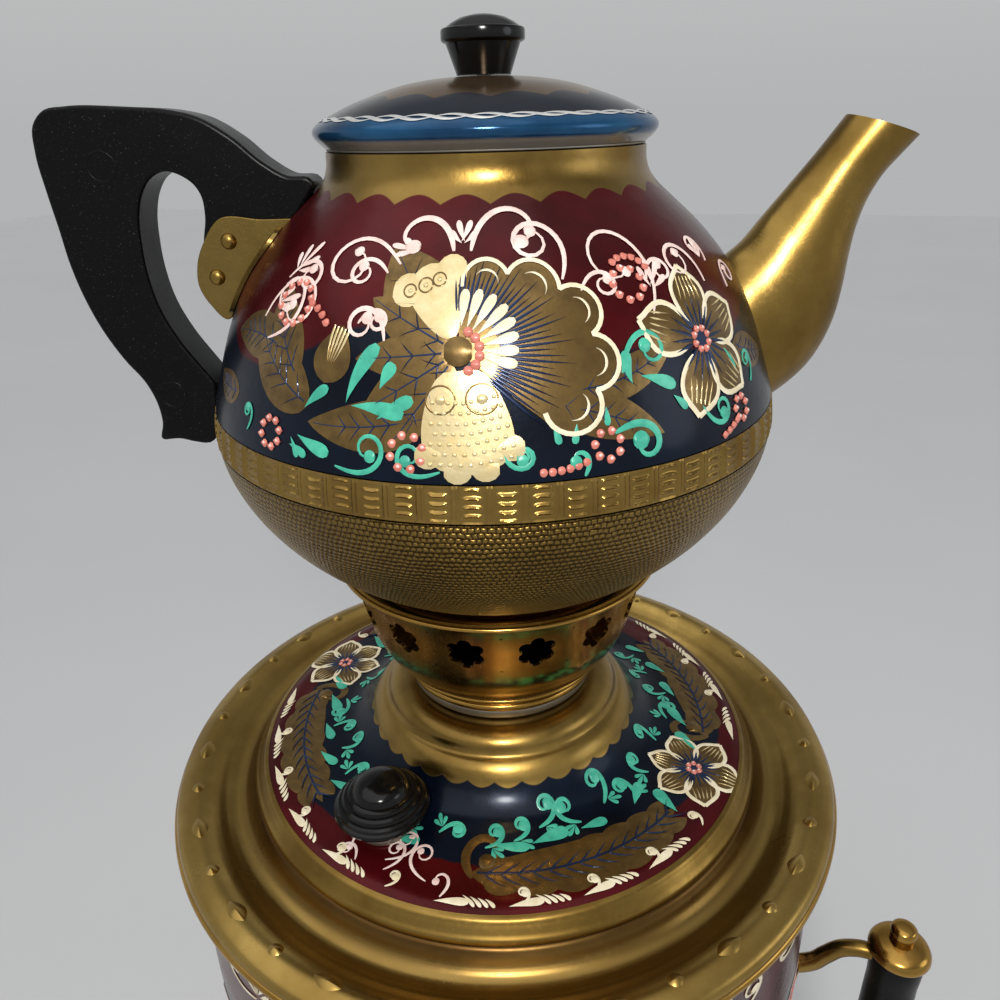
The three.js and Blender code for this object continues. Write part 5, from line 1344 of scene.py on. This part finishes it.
def bouquet(surface, spot):
    """The main group: the big bloom with a star flower to its right, leaves, buds, berries,
    teal tendrils below and cream scrolls above."""
    for x, y, length, aim, bend, width in (
            (-29, -12, 26, 160, -30, 12), (-33, -7, 22, 140, -40, 11),
            (-5, -12, 26, 196, -18, 10), (-40, -2, 20, 165, 30, 10), (16, -10, 24, -14, -14, 9),
            (20, -8, 26, -2, 38, 7.5), (62, -6, 18, -30, 26, 8), (-52, -14, 16, 190, -30, 7)):
        leaf(surface, beside(surface, spot, x, y), 0j, length, aim, bend, width)
    big_flower(surface, spot)
    star = beside(surface, spot, 50.9, -2.8)
    small_flower(surface, star, (84, 158, 250, 312, 18), 15.6, 9.6)
    bud(surface, beside(surface, spot, -25.1, -2.4))
    for x, y, ring, count in (
            (-38.2, -19.2, 2.9, 8), (-8.8, -18.6, 3.2, 8), (-38.7, 7.2, 4.4, 12),
            (36.2, 10.8, 3.4, 9), (25.5, -18.8, 2.7, 7), (59.0, -19.2, 2.4, 7)):
        berries(surface, beside(surface, spot, x, y), 0j, ring, count)
    for x, y, length, aim, bend, count in (
            (14.0, -22.6, 8.5, -2, 20, 6), (-33.4, 7.5, 6.0, -20, -30, 4),
            (34.4, 15.6, 8.6, 40, -110, 6), (52.0, -23.0, 5.6, 14, 10, 4)):
        for place in drawn(0j, length, aim, bend, 1.0, count):
            dot(surface, "salmon", beside(surface, spot, x, y), place, 0.8)
    for x, y, length, aim, wind, width in (
            (-3, -22.0, 20, 200, -420, 1.2), (-22, -22.6, 24, -14, 400, 1.3),
            (-46.0, -20.6, 13, 60, 480, 1.0), (7.6, -14.6, 25, 262, 800, 1.2),
            (30.0, -6.0, 24, 70, -380, 1.5), (27.0, -16.8, 20, 20, -330, 1.9),
            (47.0, -15.6, 20, -60, 430, 1.4), (66.0, -15.4, 15, 50, 400, 1.1),
            (21.0, -24.0, 8.0, 60, 250, 1.3)):
        curl(surface, "teal", beside(surface, spot, x, y), 0j, length, aim, wind, width)
    for x, y, length, aim, bend, width in (
            (-15.5, 0.8, 12.5, 232, 26, 3.0), (-12.0, -2.4, 5.4, 240, 10, 2.6),
            (-8.0, -8.8, 8.0, 205, 12, 2.6), (-25.0, -8.0, 7.0, 212, 20, 2.2),
            (-28.6, -22.0, 5.0, 150, 20, 1.8), (-30.6, -22.6, 4.4, 110, 20, 1.4),
            (-23.6, -20.6, 8.6, 168, -10, 2.8), (-9.6, -12.0, 11.0, 162, 24, 3.0),
            (31.4, -2.0, 6.4, 258, 30, 2.4), (41.0, -10.2, 8.5, 150, 16, 2.6),
            (43.0, -15.0, 4.4, 130, 10, 1.8), (17.0, -17.6, 3.8, 100, 10, 1.4),
            (19.6, -17.8, 3.8, 74, 10, 1.4), (25.8, -15.2, 3.6, 84, 10, 1.3),
            (60.0, -11.0, 6.0, 110, 20, 1.8)):
        comma(surface, "teal", beside(surface, spot, x, y), 0j, length, aim, bend, width)
    for x, y, length, aim, wind, width in (
            (-44.5, -1.0, 34, 20, 400, 1.2), (-48.0, 3.0, 34, 74, -330, 1.1),
            (-45.0, 12.0, 24, 60, -420, 1.2), (-14.0, 17.0, 38, 130, 400, 1.2),
            (-16.5, 15.0, 20, 130, 420, 1.2), (-14.4, 1.6, 22, 100, 400, 1.3),
            (-20.6, 4.6, 15, 60, -440, 1.2), (2.0, 20.0, 26, 84, -250, 1.7),
            (-2.0, 20.0, 22, 100, 250, 1.7), (21.5, 13.0, 38, 66, 470, 1.5),
            (25.0, 10.4, 20, 60, -460, 1.1), (40.0, 4.0, 44, 60, 340, 1.2),
            (41.5, 11.0, 18, 70, -420, 1.1), (60.0, 8.0, 30, 84, 430, 1.2),
            (70.0, 5.0, 20, 80, -400, 1.0), (66.0, 12.0, 16, 60, 400, 1.0)):
        curl(surface, "pink", beside(surface, spot, x, y), 0j, length, aim, wind, width, 1.7)
    for x, y, aim, count, length in (
            (0.0, 20.6, 90, 4, 7.6), (-44.0, 13.0, 62, 5, 9.0), (41.5, 8.0, 66, 4, 9.0),
            (-46.0, 6.0, 20, 3, 8.0), (64.0, 12.0, 80, 3, 6.0), (-9.6, 20.0, 168, 3, 6.5)):
        spray(surface, "pink", beside(surface, spot, x, y), 0j, aim, count, length)


def feather(surface, spot, length, width, count):
    """A long leaf that follows the skin's round, with leaflets along both edges, a hooked
    base and a herringbone of navy hairlines."""
    leaf(surface, spot, 0j, length, 3.0, -6.0, width, veins=0)
    for k in range(count):
        share = (k + 0.5) / count
        reach = 0.5 * width * np.sin(np.pi * (0.1 + 0.82 * share)) + 2.4
        for side in (-1, 1):
            root = beside(surface, spot, length * share * 0.92, side * 0.1 * width)
            leaf(surface, root, 0j, reach + 3.4, side * 32, side * -26, 0.66 * reach + 1.5,
                 veins=0, lift=GROUND + 0.03)
            for step in (0.0, 0.5):
                start = length * (share + step / count) * 0.92 + 0j
                comma(surface, "navy", spot, start, 0.3 * width + 2.6, side * 42, side * -20, 0.5,
                      GROUND + 0.24)
    rib = np.linspace(2, length - 3, 20) + 0.5j
    brush(surface, "navy", spot, rib, 0.3 + 0 * rib.real, GROUND + 0.2, 0.05)
    curl(surface, "brown", spot, 1 - 1j, 0.42 * length, 128, -300, 3.4, 1.6, 0.7, GROUND + 0.04)


def lid_half(surface, turn):
    """Half of the lid's wreath: a star flower between two feathered leaves, teal tendrils
    inside them, and cream commas and scrolls along the rim."""

    def at(degrees, radius, size=1.0):
        """A spot by its turn from this half's own and its radius."""
        return spot_at(surface, turn + degrees, radius, size=size)

    feather(surface, at(-99, 62.4), 62.0, 12.5, 7)
    feather(surface, at(-14, 62.4), 54.0, 11.5, 6)
    small_flower(surface, at(-27.2, 61.0), (98, 158, 214, 274, 334, 36), 13.2, 8.0, 1.7, 6, 0.85)
    for degrees, radius, length, aim, wind, width in (
            (-80, 49.5, 16, 20, 430, 1.4), (-67, 51.0, 15, 160, -430, 1.4),
            (-57, 49.0, 17, 40, 430, 1.5), (-47, 53.0, 13, 60, 400, 1.4),
            (-96, 54.5, 13, 20, 430, 1.3), (-88, 52.5, 12, 20, 410, 1.3),
            (-36, 50.5, 13, 130, -420, 1.3), (-21, 48.5, 14, 60, 430, 1.4),
            (-8, 51.0, 14, 30, -420, 1.3), (6, 53.0, 13, 110, -420, 1.3),
            (18, 51.0, 13, 60, 420, 1.3), (30, 53.0, 12, 110, -400, 1.2),
            (42, 51.5, 12, 70, 420, 1.3), (60, 55.0, 12, 80, 420, 1.3),
            (70, 52.0, 12, 60, -420, 1.3)):
        curl(surface, "teal", at(degrees, radius, 1.28), 0j, length, aim, wind, width)
        spray(surface, "teal", at(degrees, radius, 1.1), 1.2 * toward(aim),
              aim - np.sign(wind) * 62, 3, 4.4, 1.05, 26.0)
    for degrees, radius, length, aim, bend, width in (
            (-72, 52.0, 8.0, 182, 16, 3.0), (-60, 53.4, 6.0, 170, 10, 2.2),
            (-84, 54.6, 8.0, 176, -8, 2.4), (-41, 55.0, 7.0, 250, 10, 2.6),
            (-42, 50.5, 6.0, 200, 16, 2.4), (-14, 54.0, 7.0, 220, 20, 2.6),
            (-2, 52.5, 7.0, 200, 20, 2.6), (12, 53.5, 6.0, 190, 10, 2.2),
            (24, 54.0, 6.0, 200, 10, 2.2), (36, 54.5, 5.4, 200, 10, 2.0),
            (50, 53.0, 6.0, 200, 10, 2.2), (66, 56.0, 6.0, 190, 10, 2.2)):
        comma(surface, "teal", at(degrees, radius, 1.28), 0j, length, aim, bend, width)
    for degrees, radius, length, aim, wind, width in (
            (-119, 64.4, 21, 30, 470, 0.9), (-108, 66.4, 21, 160, -450, 0.9),
            (-104, 69.6, 9, 60, 250, 0.9), (52, 66.0, 19, 120, -450, 0.9),
            (62, 67.0, 17, 50, 450, 0.9), (-125, 68.0, 11, 120, 400, 0.8)):
        curl(surface, "pink", at(degrees, radius, 1.2), 0j, length, aim, wind, width)
    for base in (*range(-98, -50, 15), *range(-6, 62, 15)):
        comma(surface, "cream", at(base, 70.0), 0j, 8.6, 178, 14.0, 2.0)
        for step in range(4):
            place = at(base + 1.2 + 1.35 * step, 70.9)
            comma(surface, "cream", place, 0j, 4.4 - 0.4 * step, 128, 26.0, 0.95)
        curl(surface, "cream", at(base + 10.4, 70.7), 0j, 10.5, 34, 400, 0.95, 2.0, 1.2)


def body_wreath(surface, turn):
    """A third of the body's painting: the main group at a larger size, scrolls and sprays
    under the brim, and scrolls with berries above the gold foot."""
    bouquet(surface, spot_at(surface, turn, height=172.0 - BRIM, size=1.45))
    for k in range(5):
        high = spot_at(surface, turn - 48 + 24 * k, height=-20.0, size=1.25)
        curl(surface, "cream", high, 0j, 26, 200, -430, 1.4)
        curl(surface, "cream", high, 3 + 0j, 26, -20, 430, 1.4)
        spray(surface, "cream", high, 1.5 + 1j, 90, 5, 9.0)
        low = spot_at(surface, turn - 48 + 24 * k, height=118.0 - BRIM, size=1.2)
        curl(surface, "teal", low, 0j, 22, 170, 420, 1.4)
        curl(surface, "teal", low, 2 + 0j, 22, 10, -420, 1.4)
        berries(surface, low, 1 + 7j, 2.8, 8)


def lid_ribbon(surface):
    """The pot lid's twisted line: two strands that swing about one circle, each against the
    other. A strand is fat while it runs down and thin while it runs up."""
    crossings, steps, circle = 34, 12, 36.8
    spot = spot_at(surface, 0.0, height=181.0)
    turn = np.linspace(0, 2 * np.pi, crossings * steps + 1)
    for side in (1, -1):
        swing = side * (0.72 + 0.2 * np.sin(3 * turn)) * np.sin(crossings / 2 * turn)
        half = 0.33 - 0.21 * side * np.cos(crossings / 2 * turn)
        brush(surface, "silver", spot, circle * turn + 1j * swing, half, PETAL, 0.08)


def dry_paint(surface):
    """Each colour's strokes on a skin become one piece; a stroke is a ring-shaped grid."""
    for ink, strokes in surface["paint"].items():
        faces, start = [], 0
        for stroke in strokes:
            rows, cols = stroke.shape[:2]
            faces.append(grid_faces(rows, cols)[:, ::-1] + start)
            start += rows * cols
        points = np.concatenate([stroke.reshape(-1, 3) for stroke in strokes])
        make_piece(f"{surface['name']}_{ink}", surface["body"], points, np.concatenate(faces),
                   INKS[ink], sharp=70, welded=True, slot=surface["slot"])


def paint_all():
    """Two groups across from each other on the pot, two halves of a wreath on the lid, three
    thirds of one on the body, and the ribbon round the pot's lid."""
    pot = skin("pot_painting", POT_LINE, "teapot", "painted_pot")
    for turn in (-75.8, 104.2):
        bouquet(pot, spot_at(pot, turn, height=142.1))
    dry_paint(pot)
    lid = skin("lid_painting", LID_LINE, "lid", "painted_lid")
    for turn in (20.0, 200.0):
        lid_half(lid, turn)
    dry_paint(lid)
    shell = skin("body_painting", BODY_LINE, "samovar", "painted_body")
    for turn in (-40.0, 80.0, 200.0):
        body_wreath(shell, turn)
    dry_paint(shell)
    cover = skin("pot_lid_painting", POT_LID_LINE, "teapot_lid", "painted_lid")
    lid_ribbon(cover)
    dry_paint(cover)


# Stage, light and camera

CAMERA_TURN = np.radians(20.0)


def show(name, data):
    """An object in the scene that holds the data."""
    made = bpy.data.objects.new(name, data)
    bpy.context.scene.collection.objects.link(made)
    return made


def pale_floor():
    """A square of 8 metres just under the tray, in a pale grey with a slow cloud in it."""
    half, sunk = 4000.0, 0.05
    corners = np.array([(-1, -1), (1, -1), (1, 1), (-1, 1)]) * half
    mesh = bpy.data.meshes.new("floor")
    mesh.from_pydata([(x * MM, y * MM, -sunk * MM) for x, y in corners], [], [(0, 1, 2, 3)])
    finish, tree, shader = new_finish("floor_pale", Roughness=0.7)
    cloud = grain(tree, object_place(tree), 3.0)
    wire(tree, shader, Base_Color=blended(tree, cloud, (0.61, 0.615, 0.62), (0.67, 0.675, 0.68)))
    mesh.materials.append(finish)
    show("floor", mesh)


def studio_world():
    """A pale band at the horizon, a dimmer room above it, and a soft pale ceiling."""
    world = bpy.data.worlds.new("room")
    bpy.context.scene.world = world
    world.use_nodes = True
    tree = world.node_tree
    way = put(tree, "ShaderNodeTexCoord").outputs["Generated"]
    up = put(tree, "ShaderNodeSeparateXYZ", {0: way}).outputs[2]
    shade = (0.45, 0.455, 0.46)
    for low, high, tone in ((0.0, 0.22, (0.53, 0.54, 0.54)), (0.22, 0.62, (0.20, 0.20, 0.205)),
                            (0.62, 0.92, (0.50, 0.50, 0.51))):
        shade = blended(tree, spread(tree, up, low, high), shade, tone)
    tree.links.new(shade, tree.nodes["Background"].inputs["Color"])


def photo_camera():
    """The photograph's viewpoint: 207 mm out and 180 mm above the brim, tipped down 25 degrees,
    with a lens as long as 817 of the picture's 1000 pixels."""
    pitch, roll, yaw = np.radians([25.02, -1.61, -0.26])
    away, above = 207.0, 180.4
    sensor, focal, pixels = 36.0, 817.0, 1000.0
    c, s = np.cos(pitch), np.sin(pitch)
    upright = np.array([[1, 0, 0], [0, 0, -1], [0, 1, 0.0]])
    tip = np.array([[1, 0, 0], [0, c, -s], [0, s, c]])
    view = turned_about(-roll) @ tip @ upright @ turned_about(yaw)
    swing = turned_about(-CAMERA_TURN)
    matrix = np.eye(4)
    matrix[:3, :3] = swing @ np.stack([view[0], -view[1], -view[2]], 1)
    matrix[:3, 3] = (swing @ np.array([0, -away, 0]) + (0, 0, BRIM + above)) * MM
    data = bpy.data.cameras.new("view")
    data.sensor_width, data.lens = sensor, sensor * focal / pixels
    data.clip_start, data.clip_end = 0.01, 20.0
    camera = show("view", data)
    camera.matrix_world = Matrix(matrix.tolist())
    bpy.context.scene.camera = camera


def aimed(name, data, back, place=(0, 0, 0)):
    """A light at a place that shines against a direction."""
    made = show(name, data)
    made.location = place
    made.rotation_mode = "QUATERNION"
    made.rotation_quaternion = Vector(back).to_track_quat("Z", "Y")


def studio_light():
    """A small key by the camera, a broad soft sun from above, and a low fill from the right.
    They are set up for a camera in front and turned with the real one."""
    with_camera = turned_about(CAMERA_TURN)
    middle = np.array([0, 0, 0.36])
    for name, place, size, power, tint in (
            ("key", (0.0, -0.44, 0.66), 0.085, 1.8, (1.0, 0.98, 0.94)),
            ("fill", (0.85, -0.30, 0.60), 0.4, 0.7, (0.95, 0.97, 1.0))):
        data = bpy.data.lights.new(name, "AREA")
        data.shape, data.size, data.energy, data.color = "DISK", size, power, tint
        place = np.array(place) @ with_camera
        aimed(name, data, place - middle, place)
    sun = bpy.data.lights.new("sky", "SUN")
    sun.energy, sun.angle = 0.95, np.radians(75)
    aimed("sky", sun, np.array([-0.35, -0.25, 1.0]) @ with_camera)


photo_camera()
pale_floor()
studio_world()
studio_light()
base_pieces()
body_pieces()
lid_pieces()
crown_pieces()
pot_pieces()
pot_spout()
handle_pieces()
pot_lid_pieces()
side_handles()
tap_pieces()
dress_nodes()
paint_all()

bpy.context.scene.view_settings.view_transform = "Standard"
